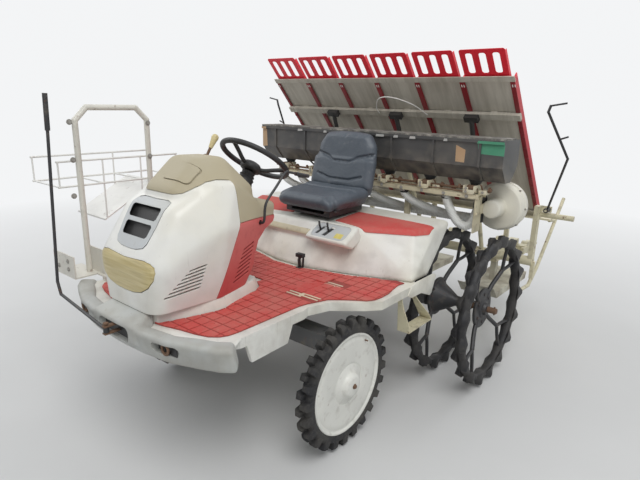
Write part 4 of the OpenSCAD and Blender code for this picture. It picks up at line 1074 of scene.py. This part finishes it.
CUSHION = [[(168, -628, 1036, 30), (192, -330, 1040, 30), (140, -638, 1050, 26), (186, -330, 1060, 24)],
           [(196, -590, 1050, 28), (206, -330, 1070, 30)]]
BACK = [[(194, -284, 1070, 28), (198, -250, 1240, 28), (176, -228, 1330, 34), (138, -220, 1376, 38),
         (60, -216, 1386, 36)],
        [(206, -296, 1100, 28), (208, -266, 1240, 26)]]
cushion = soft_form("seat_cushion", spanning(CUSHION), 7, 6)
back = soft_form("seat_back", spanning(BACK), 7, 6)
for pad in (cushion, back):
    swollen(pad, cap=9)
    finer = pad.modifiers.new("finer", "SUBSURF")
    finer.levels = finer.render_levels = 1
    baked(pad)
BACK_SEAMS = [[(-200, 1290), (-110, 1268), (-60, 1244), (60, 1244), (110, 1268), (200, 1290)],
              [(-160, 1160), (-70, 1136), (70, 1136), (160, 1160)]]
groove(back, [seen(seam, "Y") for seam in BACK_SEAMS], 7, 9, "-Y")
groove(cushion, [seen([(-190, -420), (-80, -432), (80, -432), (190, -420)], "Z")], 8, 7, "+Z")
for pad in (cushion, back):
    ready(pad, "chassis", VINYL, "seat_vinyl", angle=80)
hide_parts("seat")
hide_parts("seat")
bm = bmesh.new()
for side in (1, -1):
    tube_into(bm, smooth_path([(side * 120, -250, 1030), (side * 128, -226, 1090),
                               (side * 110, -196, 1240)]), 9, 10)
    box_into(bm, (side * 150 - 8, -560, 1003), (side * 150 + 8, -300, 1014))
for y in (-540, -330):
    for x in (90, -90):
        turned_into(bm, [(0, 0), (17, 0), (17, 9), (20, 14), (15, 19), (20, 24), (0, 25)],
                    upright(x, y, 985), 20)
tube_into(bm, smooth_path([(160, -560, 1000), (206, -590, 1004), (214, -620, 1012)]), 6, 10)
finished(bm, "seat_slides", "chassis", BLACK_STEEL, "black_plastic", bevel=0.8)
print("cushion", len(cushion.data.polygons), "back", len(back.data.polygons))

# %% [markdown]
# The floor mats are pressed rubber with a net of grooves. The net is geometry: Geometry Nodes put one
# small raised tile on each place of a grid, and all tiles are then trimmed to the mat's outline.

# %% Floor mats
MAT_HALF = [(126, -1700), (180, -1692), (262, -1668), (340, -1652), (398, -1632), (430, -1604), (446, -1574),
            (452, -1530), (454, -1180), (462, -1130), (500, -1026), (560, -972), (600, -944), (640, -918),
            (662, -880), (668, -830), (664, -760), (650, -700), (640, -640), (646, -590), (600, -590),
            (500, -640), (366, -700), (200, -742), (95, -776), (95, -1088), (148, -1120), (180, -1180),
            (196, -1290), (236, -1410), (236, -1452), (200, -1580), (160, -1692)]
CENTRE_MAT = [(-89, -1040), (89, -1040), (89, -776), (-89, -776)]
SLOTS = [(330, -1075), (420, -1062), (395, -860)]


def tile_tree():
    """One rounded tile on each vertex of the points given."""
    tree, start, end = node_tree("mat tiles", Tile_size=0.05, Tile_rise=0.002)
    cube = tree.nodes.new("GeometryNodeMeshCube")
    size_vector = tree.nodes.new("ShaderNodeCombineXYZ")
    place = tree.nodes.new("GeometryNodeInstanceOnPoints")
    real = tree.nodes.new("GeometryNodeRealizeInstances")
    paint = tree.nodes.new("GeometryNodeSetMaterial")
    paint.inputs["Material"].default_value = RED_MAT
    sizes = [(start.outputs[socket], size_vector.inputs[axis])
             for axis, socket in (("X", "Tile size"), ("Y", "Tile size"), ("Z", "Tile rise"))]
    return wired(tree, *sizes, (size_vector.outputs[0], cube.inputs["Size"]),
                 (start.outputs["Geometry"], place.inputs["Points"]),
                 (cube.outputs["Mesh"], place.inputs["Instance"]),
                 (place.outputs[0], real.inputs[0]), (real.outputs[0], paint.inputs[0]),
                 (paint.outputs[0], end.inputs[0]))


def inside(point, outline):
    """Whether a point lies within an outline, by counting the edges to its right."""
    x, y = point
    hit = False
    for (x0, y0), (x1, y1) in zip(outline, outline[1:] + outline[:1]):
        if (y0 > y) != (y1 > y) and x < (x1 - x0) * (y - y0) / (y1 - y0) + x0:
            hit = not hit
    return hit


TILES = tile_tree()
TILE, TILE_GAP, TILE_RISE, MAT_FOOT, MAT_TOP = 54, 6, 4, 700.3, 706


def tiled(name, outline):
    """The tiles of one mat, as a plain mesh."""
    step = TILE + TILE_GAP
    half = TILE / 2
    points = []
    for i in range(-16, 17):
        for j in range(-38, -10):
            x, y = i * step + step / 2, j * step
            corners = [(x + a * half, y + b * half) for a in (-1, 1) for b in (-1, 1)]
            boss = any(abs(x - sx) < 60 and abs(y - sy) < 26 for sx, sy in SLOTS)
            if any(inside(c, outline) for c in corners) and not boss:
                points.append(at(x, y, MAT_TOP + 0.6))
    mesh = bpy.data.meshes.new(name)
    mesh.from_pydata(points, [], [])
    obj = new_object(name, mesh)
    run_tree(obj, TILES, Tile_size=TILE * MM, Tile_rise=TILE_RISE * MM)
    return carve(obj, prism(outline, "Z", MAT_TOP - 2, MAT_TOP + 9), "INTERSECT")


# The base under the tiles is a darker red than the tiles: painted shade in the grooves, with real dust on
# it.
GROOVE_SHADE_RED = rubber("red mat grooves", (0.34, 0.045, 0.04), (0.28, 0.13, 0.10), 0.6, 0.75)
mats = []
outlines = {"left": MAT_HALF, "right": [(-x, y) for x, y in MAT_HALF], "centre": CENTRE_MAT}
for word, outline in outlines.items():
    base = plate(f"floor_mat_{word}", outline, ACROSS["Z"], MAT_FOOT, MAT_TOP)
    mats.append(ready(base, "chassis", GROOVE_SHADE_RED, "red_mat", bevel=1.5))
    ready(tiled(f"floor_mat_tiles_{word}", outline), "chassis", RED_MAT, "red_mat", bevel=0.8, segments=1)
for mat in mats:
    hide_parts("deck_mats")
bm = bmesh.new()
for side in (1, -1):
    turned_into(bm, [(0, 0), (20, 0), (20, 3.4), (15, 5), (9, 5), (8, 2.6), (0, 2.6)],
                upright(side * 331, -1556, MAT_TOP - 0.5), 24)
    turned_into(bm, [(0, 0), (64, 0), (64, 2.2), (60, 3), (44, 3), (42, 2), (0, 2)],
                upright(side * 330, -960, MAT_TOP - 0.5), 36)
finished(bm, "mat_bosses", "chassis", RED_MAT, "red_mat")
CREAM = moulded("cream insert", (0.74, 0.66, 0.50), 0.55, 0.5)
bm = bmesh.new()
for side in (1, -1):
    for x, y in SLOTS:
        for offset in (-12, 12):
            box_into(bm, (side * x - 56, y + offset - 5, MAT_TOP - 0.5),
                     (side * x + 56, y + offset + 5, MAT_TOP + 2))
finished(bm, "mat_slots", "chassis", CREAM, "red_mat", bevel=1)
print("mats", sum(len(m.data.polygons) for m in mats))

# %% [markdown]
# Each of the bumper's pockets has a black plate a little way in: painted shade for the depth of the pocket.

# %% Painted shade at the backs of the bumper's pockets
pocket_shade = bmesh.new()
box_into(pocket_shade, (-104, -1776, 640), (104, -1773, 696))
for side in (1, -1):
    edge = sorted((side * 248, side * 364))
    box_into(pocket_shade, (edge[0], -1754, 650), (edge[1], -1750, 686))
finished(pocket_shade, "pocket_backs", "chassis", BLACK_PLASTIC, "black_plastic")
print("pockets ready")

# %% [markdown]
# Hoses are ribbed so that they bend without folding. Geometry Nodes sweep a plain core along each path
# and set one rib on it every few millimetres, turned to follow the path.

# %% Ribbed hoses


def hose_tree(material):
    tree, start, end = node_tree("ribbed hose", Radius=0.022, Rib_spacing=0.009)
    new = tree.nodes.new
    to_curve = new("GeometryNodeMeshToCurve")
    even = new("GeometryNodeResampleCurve")
    even.mode = "LENGTH"
    ring, wire, core = [new("GeometryNodeCurvePrimitiveCircle") for _ in range(3)]
    for circle, count in ((ring, 20), (wire, 6), (core, 20)):
        circle.inputs["Resolution"].default_value = count
    wire.inputs["Radius"].default_value = 0.0032
    rib, tube = [new("GeometryNodeCurveToMesh") for _ in range(2)]
    tube.inputs["Fill Caps"].default_value = True
    tangent, turn = new("GeometryNodeInputTangent"), new("FunctionNodeAlignRotationToVector")
    turn.axis = "Z"
    place, join, real, paint = [new(f"GeometryNode{kind}") for kind in (
        "InstanceOnPoints", "JoinGeometry", "RealizeInstances", "SetMaterial")]
    paint.inputs["Material"].default_value = material
    return wired(tree, (start.outputs["Geometry"], to_curve.inputs[0]),
                 (to_curve.outputs[0], even.inputs["Curve"]),
                 (start.outputs["Rib spacing"], even.inputs["Length"]),
                 (start.outputs["Radius"], ring.inputs["Radius"]),
                 (start.outputs["Radius"], core.inputs["Radius"]),
                 (ring.outputs[0], rib.inputs["Curve"]), (wire.outputs[0], rib.inputs["Profile Curve"]),
                 (to_curve.outputs[0], tube.inputs["Curve"]),
                 (core.outputs[0], tube.inputs["Profile Curve"]),
                 (even.outputs[0], place.inputs["Points"]), (rib.outputs[0], place.inputs["Instance"]),
                 (tangent.outputs[0], turn.inputs["Vector"]), (turn.outputs[0], place.inputs["Rotation"]),
                 (place.outputs[0], join.inputs[0]), (tube.outputs[0], join.inputs[0]),
                 (join.outputs[0], real.inputs[0]), (real.outputs[0], paint.inputs[0]),
                 (paint.outputs[0], end.inputs[0]))


f = Finish("white hose", (0.84, 0.84, 0.81), 0.45, IOR=1.46)
f.layer(f.noise(20, 0.55, 0.85, 6), (0.62, 0.60, 0.53), 0.7, 0.5)
f.layer(f.noise(7, 0.5, 0.8), (0.62, 0.60, 0.54), 0.6, 0.6)
HOSE = f.done()
HOSES = hose_tree(HOSE)


def hose(name, path, radius, spacing=9):
    """A ribbed hose along a path, with one rib every so many millimetres."""
    points = [at(*p) for p in smooth_path(path, 10)]
    mesh = bpy.data.meshes.new(name)
    mesh.from_pydata(points, [(i, i + 1) for i in range(len(points) - 1)], [])
    obj = new_object(name, mesh)
    ribbed = run_tree(obj, HOSES, Radius=radius * MM, Rib_spacing=spacing * MM)
    return ready(ribbed, "chassis", HOSE, "white_hose")


UNIT_HOSES = (-740, -564, -282, 0, 282)
hoses = [hose(f"hose_{i + 1}", [(x, -14, 1098), (x, -14, 1056), (x + 40, 8, 1012), (x + 116, 52, 974),
                                (x + 200, 118, 940)], 23) for i, x in enumerate(UNIT_HOSES)]
hoses.append(hose("hose_6", [(560, -16, 1098), (566, -14, 1050), (592, -2, 985), (622, 8, 934),
                             (652, 22, 905), (682, 36, 900), (704, 52, 922), (708, 74, 958),
                             (705, 110, 985)], 23))
hoses.append(hose("air_duct", [(-720, 130, 930), (0, 130, 930), (690, 130, 930)], 27, 14))
bm = bmesh.new()
tube_into(bm, smooth_path([(705, 128, 915), (705, 128, 990), (705, 134, 1030), (705, 150, 1046),
                           (712, 169, 1050)]), 33, 20)
tube_into(bm, smooth_path([(690, 130, 930), (705, 130, 930)]), 33, 20)
for x in (*UNIT_HOSES, 560):
    turned_into(bm, [(0, 0), (27, 0), (27, 8), (25, 10), (25, 24), (0, 24)], upright(x, -14, 1056), 20)
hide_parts("hoses")
finished(bm, "duct_elbow", "chassis", BLACK_PLASTIC, "black_plastic", bevel=1)
print("hoses", sum(len(h.data.polygons) for h in hoses))

# %% [markdown]
# The blower is a thin moulded snail with a round motor on its front. Turned profiles give its ribs and
# its rounded rims, and small screws close the two halves.

# %% Blower
bm = bmesh.new()
front = along_y(800, 0, 1010)
turned_into(bm, [(0, 62), (40, 62), (50, 66), (54, 74), (54, 92), (52, 94), (52, 98), (54, 100), (54, 168),
                 (60, 172), (110, 174), (128, 176), (137, 184), (140, 192), (140, 232), (145, 234),
                 (145, 240), (140, 242), (140, 284), (134, 294), (124, 299), (70, 299), (60, 294), (0, 294)],
            front, 56)
SCREWS = [(800 + 143 * math.cos(a), 1010 + 143 * math.sin(a)) for a in around(8)]
for x, z in SCREWS:
    disc_into(bm, 6, 226, 248, along_y(x, 0, z), 10)
tube_into(bm, smooth_path([(706, 150, 1050), (715, 190, 1052), (740, 215, 1066), (770, 224, 1086)]), 30, 18)
blower = finished(bm, "blower_housing", "chassis", BLOWER_WHITE, "blower_white", ["blower"], bevel=1)
bm = bmesh.new()
box_into(bm, (751.3, -50, 976), (757, 20, 1100))
box_into(bm, (751.3, 14, 982), (757, 172, 1038))
for y, z in ((-34, 990), (-34, 1080), (0, 1080)):
    disc_into(bm, 9, 0, 7, along_x(757, y, z), 6)
finished(bm, "blower_bracket", "chassis", BEIGE_STEEL, "beige_steel", bevel=0.8)
print("blower", len(blower.data.polygons))

# %% [markdown]
# Each metering unit is a small grubby machine: a throat under the hopper, a cream housing, a brush
# wheel on a rusty shaft that runs through all six, and a lever with a plastic grip.

# %% Metering units
UNITS = [(i - 2.5) * 284 for i in range(6)]
units, throats, mechanics = bmesh.new(), bmesh.new(), bmesh.new()
for x in UNITS:
    for low, high in (((-33, -58, 1103.2), (-27, 54, 1150)), ((27, -58, 1103.2), (33, 54, 1150)),
                      ((-33, -58, 1103.2), (33, 54, 1110)), ((-27, 20, 1110), (27, 54, 1150)),
                      ((-27, -58, 1110), (27, -54, 1128)), ((46, -26, 1103.2), (92, 26, 1126))):
        box_into(units, (x + low[0], low[1], low[2]), (x + high[0], high[1], high[2]))
    box_into(units, (x - 22, -66, 1112), (x - 2, -58, 1142))
    turned_into(throats, [(0, 1128), (24, 1128), (27, 1140), (27, 1150), (40, 1172), (40, 1174.6),
                          (0, 1174.6)], upright(x, 34, 0), 20)
    turned_into(mechanics, [(0, -22), (20, -22), (22, -20), (22, 20), (20, 22), (0, 22)],
                along_x(x, -16, 1128), 20)
    turned_into(mechanics, [(0, 96), (17, 96), (17, 104), (12, 104), (12, 112), (0, 112)],
                along_x(x, -8, 1130), 16)
    tube_into(mechanics, smooth_path([(x + 60, -8, 1126), (x + 62, -30, 1150), (x + 66, -52, 1158)]), 4.5, 8)
    tube_into(mechanics, smooth_path([(x - 40, 6, 1106), (x - 52, -14, 1136), (x - 60, -44, 1140)]), 4, 8)
    box_into(mechanics, (x - 66, -50, 1128), (x - 54, -38, 1152))
tube_into(mechanics, [(-745, -16, 1128), (745, -16, 1128)], 7, 10)
tube_into(mechanics, [(-745, -46, 1114), (745, -46, 1114)], 4, 8)
first = finished(units, "metering_housings", "chassis", CREAM_PLASTIC, "cream_plastic", ["metering_units"],
                 bevel=1.4)
finished(throats, "metering_throats", "chassis", BLACK_PLASTIC, "black_plastic")
finished(mechanics, "metering_drives", "chassis", RUSTY, "bumper_grey", bevel=0.6)
print("metering", len(first.data.polygons))

# %% [markdown]
# The rear wheels have no tyre. A wavy rubber-coated band with cleats runs in the mud, carried by forked
# round spokes on a pressed hub plate. The band's radius follows a wave, and pointed fins stand on both of
# its edges, half a cleat apart.

# %% Rear wheels
WHEEL_Z, REAR_R, CLEATS = 441, 440.4, 17


def on_wheel(x, angle, centre=(0, WHEEL_Z)):
    """The place function of a spoke: x across, y sideways and z outwards, at an angle in radians."""
    return tilted((x, *centre), -math.degrees(angle))


def mirrored(profile, side):
    """A profile along the machine's left axle, or its mirror image."""
    return profile if side > 0 else [(radius, -height) for radius, height in reversed(profile)]


def band_into(bm, x):
    """One band of even width, with pointed fins on both edges, half a cleat apart."""
    steps = CLEATS * 8
    rings = []
    for k, a in enumerate(around(steps)):
        wave = math.cos(2 * math.pi * k / 8)
        outer, inner = REAR_R - 27 + 3 * wave, REAR_R - 66 - 5 * wave
        section = [(-25, outer - 9), (-17, outer), (17, outer), (25, outer - 9), (25, inner + 9),
                   (16, inner), (-16, inner), (-25, inner + 9)]
        rings.append([bm.verts.new(at(x + dx, r * math.sin(a), WHEEL_Z + r * math.cos(a)))
                      for dx, r in section])
    for one, two in zip(rings, rings[1:] + rings[:1]):
        for k in range(8):
            bm.faces.new((one[k], one[(k + 1) % 8], two[(k + 1) % 8], two[k]))
    for k in range(CLEATS):
        for edge in (1, -1):
            a = 2 * math.pi * (k + (0.25 if edge > 0 else 0.75)) / CLEATS
            place = on_wheel(x, a)
            points = [(edge * 10, -62, REAR_R - 40), (edge * 10, 62, REAR_R - 40),
                      (edge * 10, 8, REAR_R - 1), (edge * 10, -22, REAR_R - 9), (edge * 40, 10, REAR_R - 7),
                      (edge * 40, -12, REAR_R - 12), (edge * 24, -58, REAR_R - 60),
                      (edge * 24, 58, REAR_R - 60), (edge * 33, 0, REAR_R - 66)]
            hulled(bm, [bm.verts.new(at(*place(*p))) for p in points])


HUB_PLATE = [(0, -9), (112, -9), (118, -5), (118, 5), (112, 9), (60, 9), (54, 16), (40, 20), (36, 36),
             (0, 36)]
HUB_CONE = [(0, 554), (104, 554), (104, 560), (98, 568), (56, 640), (31, 680), (31, 720), (26, 724),
            (0, 724)]
AXLE = [(0, 442), (17.6, 442.5), (17.6, 924), (15, 927.4), (0, 927.5)]
for side, word in SIDES:
    band, frame_parts, shaft = bmesh.new(), bmesh.new(), bmesh.new()
    for centre in (605.5, 889.5):
        x = side * centre
        band_into(band, x)
        hub = x - side * 51
        for k in range(4):
            place = on_wheel(0, math.radians(-49 + 90 * k) * side)
            fork = (x - side * 17, 0, 258)
            for path, r in (([(hub, 0, 70), (hub + side * 8, 0, 150), fork], 13),
                            ([fork, (x - side * 10, 52, 316), (x - side * 2, 92, 374)], 10.5),
                            ([fork, (x - side * 10, -52, 316), (x - side * 2, -92, 374)], 10.5)):
                tube_into(frame_parts, [place(*p) for p in smooth_path(path, 5)], r, 10)
        turned_into(frame_parts, mirrored(HUB_PLATE, side), along_x(hub, 0, WHEEL_Z), 40)
        for k in range(6):
            a = 2 * math.pi * (k + 0.5) / 6
            place = along_x(hub, 84 * math.cos(a), WHEEL_Z + 84 * math.sin(a))
            disc_into(frame_parts, 10, -14, 14, place, 6)
    turned_into(frame_parts, mirrored(HUB_CONE, side), along_x(0, 0, WHEEL_Z), 40)
    turned_into(shaft, mirrored(AXLE, side), along_x(0, 0, WHEEL_Z), 20)
    disc_into(shaft, 5, -24, 24, upright(side * 913.5, 0, WHEEL_Z), 10)
    bands = finished(band, f"rear_bands_{word}", f"rear_wheels_{word}", WHEEL_BLACK, "black_wheel",
                     [f"rear_wheels_{word}"], angle=50)
    finished(frame_parts, f"rear_spokes_{word}", f"rear_wheels_{word}", BLACK_STEEL, "black_wheel",
             bevel=0.8)
    finished(shaft, f"rear_shaft_{word}", f"rear_wheels_{word}", RUSTY, "black_wheel")
print("rear bands", len(bands.data.polygons))

# %% [markdown]
# The front tyres are narrow paddy tyres: two rows of stout lugs, half a step apart, that wrap over the
# shoulders. The white disc has a rolled rim, a shallow ring and a cap with one rusty bolt.

# %% Front wheels
FRONT_R, LUGS, FRONT_AXLE = 317.7, 24, (-1020, 318)


def lug_into(bm, place, side):
    """One lug between two outlines, on one side of a tyre; place is a spoke's place function."""
    rows = []
    for y in (-1, 1):
        outline = [(side * -2, y * 15, 283), (side * -2, y * 10, FRONT_R - 0.4),
                   (side * 26, y * 13, FRONT_R - 2), (side * 35.5, y * 17, FRONT_R - 14),
                   (side * 33, y * 22, 268), (side * 24, y * 24, 262)]
        rows.append([bm.verts.new(at(*place(*p))) for p in outline])
    bm.faces.new(rows[0])
    bm.faces.new(list(reversed(rows[1])))
    for k in range(6):
        bm.faces.new((rows[0][k], rows[1][k], rows[1][(k + 1) % 6], rows[0][(k + 1) % 6]))


for side, word in SIDES:
    x0 = side * 605.5
    tyre = bmesh.new()
    turned_into(tyre, [(246, -26), (252, -31), (274, -32), (284, -24), (287, -10), (287, 10), (284, 24),
                       (274, 32), (252, 31), (246, 26), (246, -26)], along_x(x0, *FRONT_AXLE), 72)
    for k in range(LUGS):
        for row in (1, -1):
            lug_into(tyre, on_wheel(x0, 2 * math.pi * (k + 0.25 * row) / LUGS, FRONT_AXLE), row)
    finished(tyre, f"paddy_tyre_{word}", f"front_wheel_{word}", TYRE, "tyre", [f"tyre_front_{word}"],
             bevel=2.2)
    disc = bmesh.new()
    profile = [(0, 58), (42, 58), (50, 55), (56, 48), (62, 34), (74, 27), (92, 24), (96, 21), (102, 21),
               (106, 25), (200, 25), (216, 24), (222, 20), (230, 21), (237, 29), (244, 29), (246, 25),
               (246, -25), (240, -27), (236, 10), (110, 6), (46, 4), (46, -34), (0, -34)]
    turned_into(disc, [(r, side * h) for r, h in profile], along_x(x0, *FRONT_AXLE), 72)
    finished(disc, f"wheel_disc_{word}", f"front_wheel_{word}", DISC_WHITE, "white_disc",
             [f"disc_front_{word}"], bevel=0.8)
    bolt = bmesh.new()
    profile = [(0, 57), (13, 57), (13, 60), (9, 60.5), (9, 67), (0, 68)]
    turned_into(bolt, [(r, side * h) for r, h in profile], along_x(x0, *FRONT_AXLE), 12)
    disc_into(bolt, 4, side * 24, side * 40, along_x(x0, FRONT_AXLE[0] + 120, FRONT_AXLE[1] + 180), 8)
    finished(bolt, f"hub_bolt_{word}", f"front_wheel_{word}", RUSTY, "white_disc", bevel=0.5)
print("front wheels ready")

# %% [markdown]
# The steering wheel is dished: the rim stands above its hub on three flat spokes that sink into a soft
# cover. A rubber boot closes the column where it leaves the cover.

# %% Steering wheel, boot and levers
wheel = bmesh.new()
RIM_R, RIM_UP = 171, 46
ring = [on_steering(RIM_R * math.cos(a), RIM_R * math.sin(a), RIM_UP) for a in around(72, closed=True)]
tube_into(wheel, ring, 13.5, 14)
for a in (math.radians(d) for d in (30, 150, 270)):
    reach = [(36, 2), (70, 8), (110, 26), (150, 42), (RIM_R - 4, RIM_UP)]
    tube_into(wheel, smooth_path([on_steering(r * math.cos(a), r * math.sin(a), z) for r, z in reach], 5),
              10, 10)
turned_into(wheel, [(0, 26), (30, 26), (40, 22), (50, 12), (54, -2), (50, -14), (40, -20), (0, -20)],
            on_steering, 40)
disc_into(wheel, 10, -20, -110, on_steering, 16)
finished(wheel, "steering_wheel_rim", "steering_wheel", BLACK_PLASTIC, "black_plastic", ["steering_wheel"],
         angle=50)
boot = bmesh.new()
turned_into(boot, [(0, -24), (30, -24), (34, -30), (30, -38), (38, -46), (34, -54), (42, -64), (38, -74),
                   (44, -90), (36, -130), (28, -140), (28, -256), (0, -256)], on_steering, 32)
box_into(boot, (-30, -1176, 620), (30, -1124, 1100))
finished(boot, "steering_boot", "chassis", BLACK_PLASTIC, "black_plastic", ["steering_column"], angle=60)
rod = bmesh.new()
tube_into(rod, smooth_path([(150, -1162, 1040), (196, -1162, 1040), (222, -1160, 1052), (222, -1147, 1130),
                            (222, -1082, 1198), (222, -1020, 1258), (222, -985, 1256), (222, -866, 1229)],
                           6), 6, 12)
tube_into(rod, [(222, -950, 1247), (222, -862, 1228), (222, -857, 1227)], 9.5, 14)
finished(rod, "long_lever", "chassis", BLACK_STEEL, "black_rod", ["levers"], angle=50)

on_knob = tilted((-60, -1252, 1323.6), -32.5)
knob = bmesh.new()
turned_into(knob, [(0, -2), (17, -2), (18, 3), (12, 9), (0, 10)], on_knob, 24)
disc_into(knob, 6.5, 5, 58, on_knob, 14)
finished(knob, "knob_stalk", "chassis", RUSTY, "black_rod")
grip = bmesh.new()
turned_into(grip, [(0, 44), (9, 46), (11, 60), (14, 84), (17, 98), (16, 108), (10, 115), (0, 117)],
            on_knob, 24)
f = Finish("cream knob", (0.62, 0.52, 0.27), 0.35, IOR=1.5)
f.layer(f.noise(60, 0.45, 0.75, 6), (0.36, 0.27, 0.13), 0.6, 0.5)
f.bump(f.noise(300), 0.00008)
KNOB = f.done()
finished(grip, "knob", "chassis", KNOB, "black_rod", angle=60)
foot = plate("foot_pad", rounded_outline(29, 44, 8), lambda x, y, z: (330 + x, -835 + y, z), 706.5, 716)
ready(foot, "chassis", RED_MAT, "red_mat", ["pedals"], bevel=2)
print("steering wheel ready")

# %% [markdown]
# Red plastic bands run down the underside of the seedling table, one below each divider, with small
# white marks at their heads. A springy wire bows out from the middle rail.

# %% Bands and wire of the seedling table
# y runs down the table from its top edge, and z stands off its upper face
on_table = tilted((-100, 190, 1728), -47.6)
bands, marks, clips = bmesh.new(), bmesh.new(), bmesh.new()
for i in range(7):
    x = (i - 3) * 300
    low, high = (-18 if i else -9), (18 if i < 6 else 9)
    for u0, u1 in ((16, 241), (289, 1153)):
        box_into(bands, (x + low, u0, -10), (x + high, u1, -6.2), on_table)
    for dx in (-7, 7):
        box_into(marks, (x + dx - 3, 34, -11.2), (x + dx + 3, 52, -10.1), on_table)
    for k in range(9):
        u = 330 + 92 * k
        box_into(clips, (x - 8, u, -13.5), (x + 8, u + 14, -10.1), on_table)
DARK_RED = faded("dark red bands", (0.23, 0.012, 0.018), (0.32, 0.04, 0.045), 0.42)
finished(bands, "table_bands", "seedling_table", DARK_RED, "red_plastic", bevel=0.8)
finished(marks, "table_band_marks", "seedling_table", WHITE, "red_plastic")
finished(clips, "table_band_clips", "seedling_table", DARK_RED, "red_plastic", bevel=0.6)
bm = bmesh.new()
tube_into(bm, smooth_path([on_table(-60, 262, -31), on_table(-52, 200, -46), on_table(20, 96, -70),
                           on_table(130, 80, -76), on_table(250, 150, -60), on_table(312, 262, -31)], 8),
          3.6, 8)
finished(bm, "table_wire", "seedling_table", WHITE_WIRE, "table_sheet")
print("table bands ready")

# %% [markdown]
# The hopper is patched with tape: tan where it split, greenish over the clear end, and its rim has
# gone pale in the sun. Thin patches stand on its skin.

# %% Hopper tapes
TAN_TAPE = faded("tan tape", (0.42, 0.27, 0.15), (0.52, 0.38, 0.24), 0.6)
GREEN_TAPE = faded("green tape", (0.06, 0.26, 0.15), (0.16, 0.36, 0.25), 0.5)
SILVER_TAPE = faded("silver tape", (0.42, 0.42, 0.40), (0.58, 0.57, 0.53), 0.45)


def patch(name, outline, y, material, slot="hopper_smoke"):
    """A thin piece of tape on an upright face: outline in (x, z), on the face at y."""
    tape = prism(outline, "Y", y - 0.9, y - 0.25)
    tape.name = name
    return ready(tape, "chassis", material, slot)


FACE, LIP = -73, -85
patch("tape_left", [(-893, 1258), (-846, 1262), (-852, 1384), (-893, 1384)], FACE, TAN_TAPE)
patch("tape_left_lip", [(-893, 1385), (-850, 1385), (-846, 1399), (-893, 1399)], LIP, TAN_TAPE)
patch("tape_right", [(624, 1278), (676, 1276), (678, 1344), (622, 1368)], FACE, TAN_TAPE)
patch("tape_green", [(752, 1330), (892, 1326), (892, 1384), (744, 1384)], FACE, GREEN_TAPE)
patch("tape_green_lip", [(744, 1385), (892, 1385), (892, 1399), (750, 1399)], LIP, GREEN_TAPE)
for i, (x, half) in enumerate(((-520, 22), (-300, 14), (128, 30), (240, 16), (352, 20), (560, 12))):
    patch(f"tape_silver_{i + 1}", [(x - half, 1384.6), (x + half, 1386), (x + half - 3, 1399.4),
                                   (x - half + 4, 1399)], LIP, SILVER_TAPE)
print("tapes ready")

# %% [markdown]
# Bolts are all alike: a washer and a hexagon head. One node tree sets them on points, and each point
# carries the direction in which its bolt faces.

# %% Bolts


def bolt_tree(material):
    tree, start, end = node_tree("bolts", Head_radius=0.009, Head_height=0.007)
    new = tree.nodes.new
    head, washer = [new("GeometryNodeMeshCylinder") for _ in range(2)]
    head.inputs["Vertices"].default_value = 6
    washer.inputs["Vertices"].default_value = 14
    washer.inputs["Depth"].default_value = 0.0034
    wider = new("ShaderNodeMath")
    wider.operation = "MULTIPLY"
    wider.inputs[1].default_value = 1.5
    both, place, real, paint = [new(f"GeometryNode{kind}") for kind in (
        "JoinGeometry", "InstanceOnPoints", "RealizeInstances", "SetMaterial")]
    paint.inputs["Material"].default_value = material
    facing = new("GeometryNodeInputNamedAttribute")
    facing.data_type = "FLOAT_VECTOR"
    facing.inputs["Name"].default_value = "facing"
    turn = new("FunctionNodeAlignRotationToVector")
    turn.axis = "Z"
    return wired(tree, (start.outputs["Head radius"], head.inputs["Radius"]),
                 (start.outputs["Head height"], head.inputs["Depth"]),
                 (start.outputs["Head radius"], wider.inputs[0]),
                 (wider.outputs[0], washer.inputs["Radius"]),
                 (head.outputs["Mesh"], both.inputs[0]), (washer.outputs["Mesh"], both.inputs[0]),
                 (facing.outputs["Attribute"], turn.inputs["Vector"]),
                 (start.outputs["Geometry"], place.inputs["Points"]),
                 (both.outputs[0], place.inputs["Instance"]),
                 (turn.outputs[0], place.inputs["Rotation"]), (place.outputs[0], real.inputs[0]),
                 (real.outputs[0], paint.inputs[0]), (paint.outputs[0], end.inputs[0]))


BOLTS = bolt_tree(ZINC)


def bolts(name, body, slot, places, radius=8, height=12):
    """places are (x, y, z, facing) in part millimetres; half of each head sinks into its seat."""
    mesh = bpy.data.meshes.new(name)
    mesh.from_pydata([at(*place[:3]) for place in places], [], [])
    ways = mesh.attributes.new("facing", "FLOAT_VECTOR", "POINT")
    ways.data.foreach_set("vector", [number for place in places for number in place[3]])
    obj = new_object(name, mesh)
    heads = run_tree(obj, BOLTS, Head_radius=radius * MM, Head_height=height * MM)
    return ready(heads, body, ZINC, slot)


LEFT, FRONT = (1, 0, 0), (0, -1, 0)
RACK_BOLTS = [(-586, y, z, LEFT) for y, z in ((-1620, 1464), (-1620, 1289), (-1633, 1118), (-1212, 1453),
                                              (-1212, 1281))]
BAR_BOLTS = [(-700 + 140 * k, -52, 1090, FRONT) for k in range(11)]
UNIT_SCREWS = [(x + dx, y, z, FRONT) for x in UNITS
               for dx, y, z in ((-12, -66, 1135), (-12, -66, 1118), (69, -26, 1116))]
BLOWER_SCREWS = [(x, 226, z, FRONT) for x, z in SCREWS]
BRACKET_BOLTS = [(-600, -1690, 760, FRONT), (-700, -1690, 760, FRONT), (-600, -1690, 800, FRONT)]
BOLT_SETS = (("rack_bolts", "white_tube", RACK_BOLTS, 9), ("bar_bolts", "beige_steel", BAR_BOLTS, 7),
             ("metering_screws", "cream_plastic", UNIT_SCREWS, 5),
             ("blower_screws", "blower_white", BLOWER_SCREWS, 4),
             ("rack_bracket_bolts", "white_tube", BRACKET_BOLTS, 8))
for name, slot, places, radius in BOLT_SETS:
    bolts(name, "chassis", slot, places, radius)
print("bolts", sum(len(places) for _, _, places, _ in BOLT_SETS))
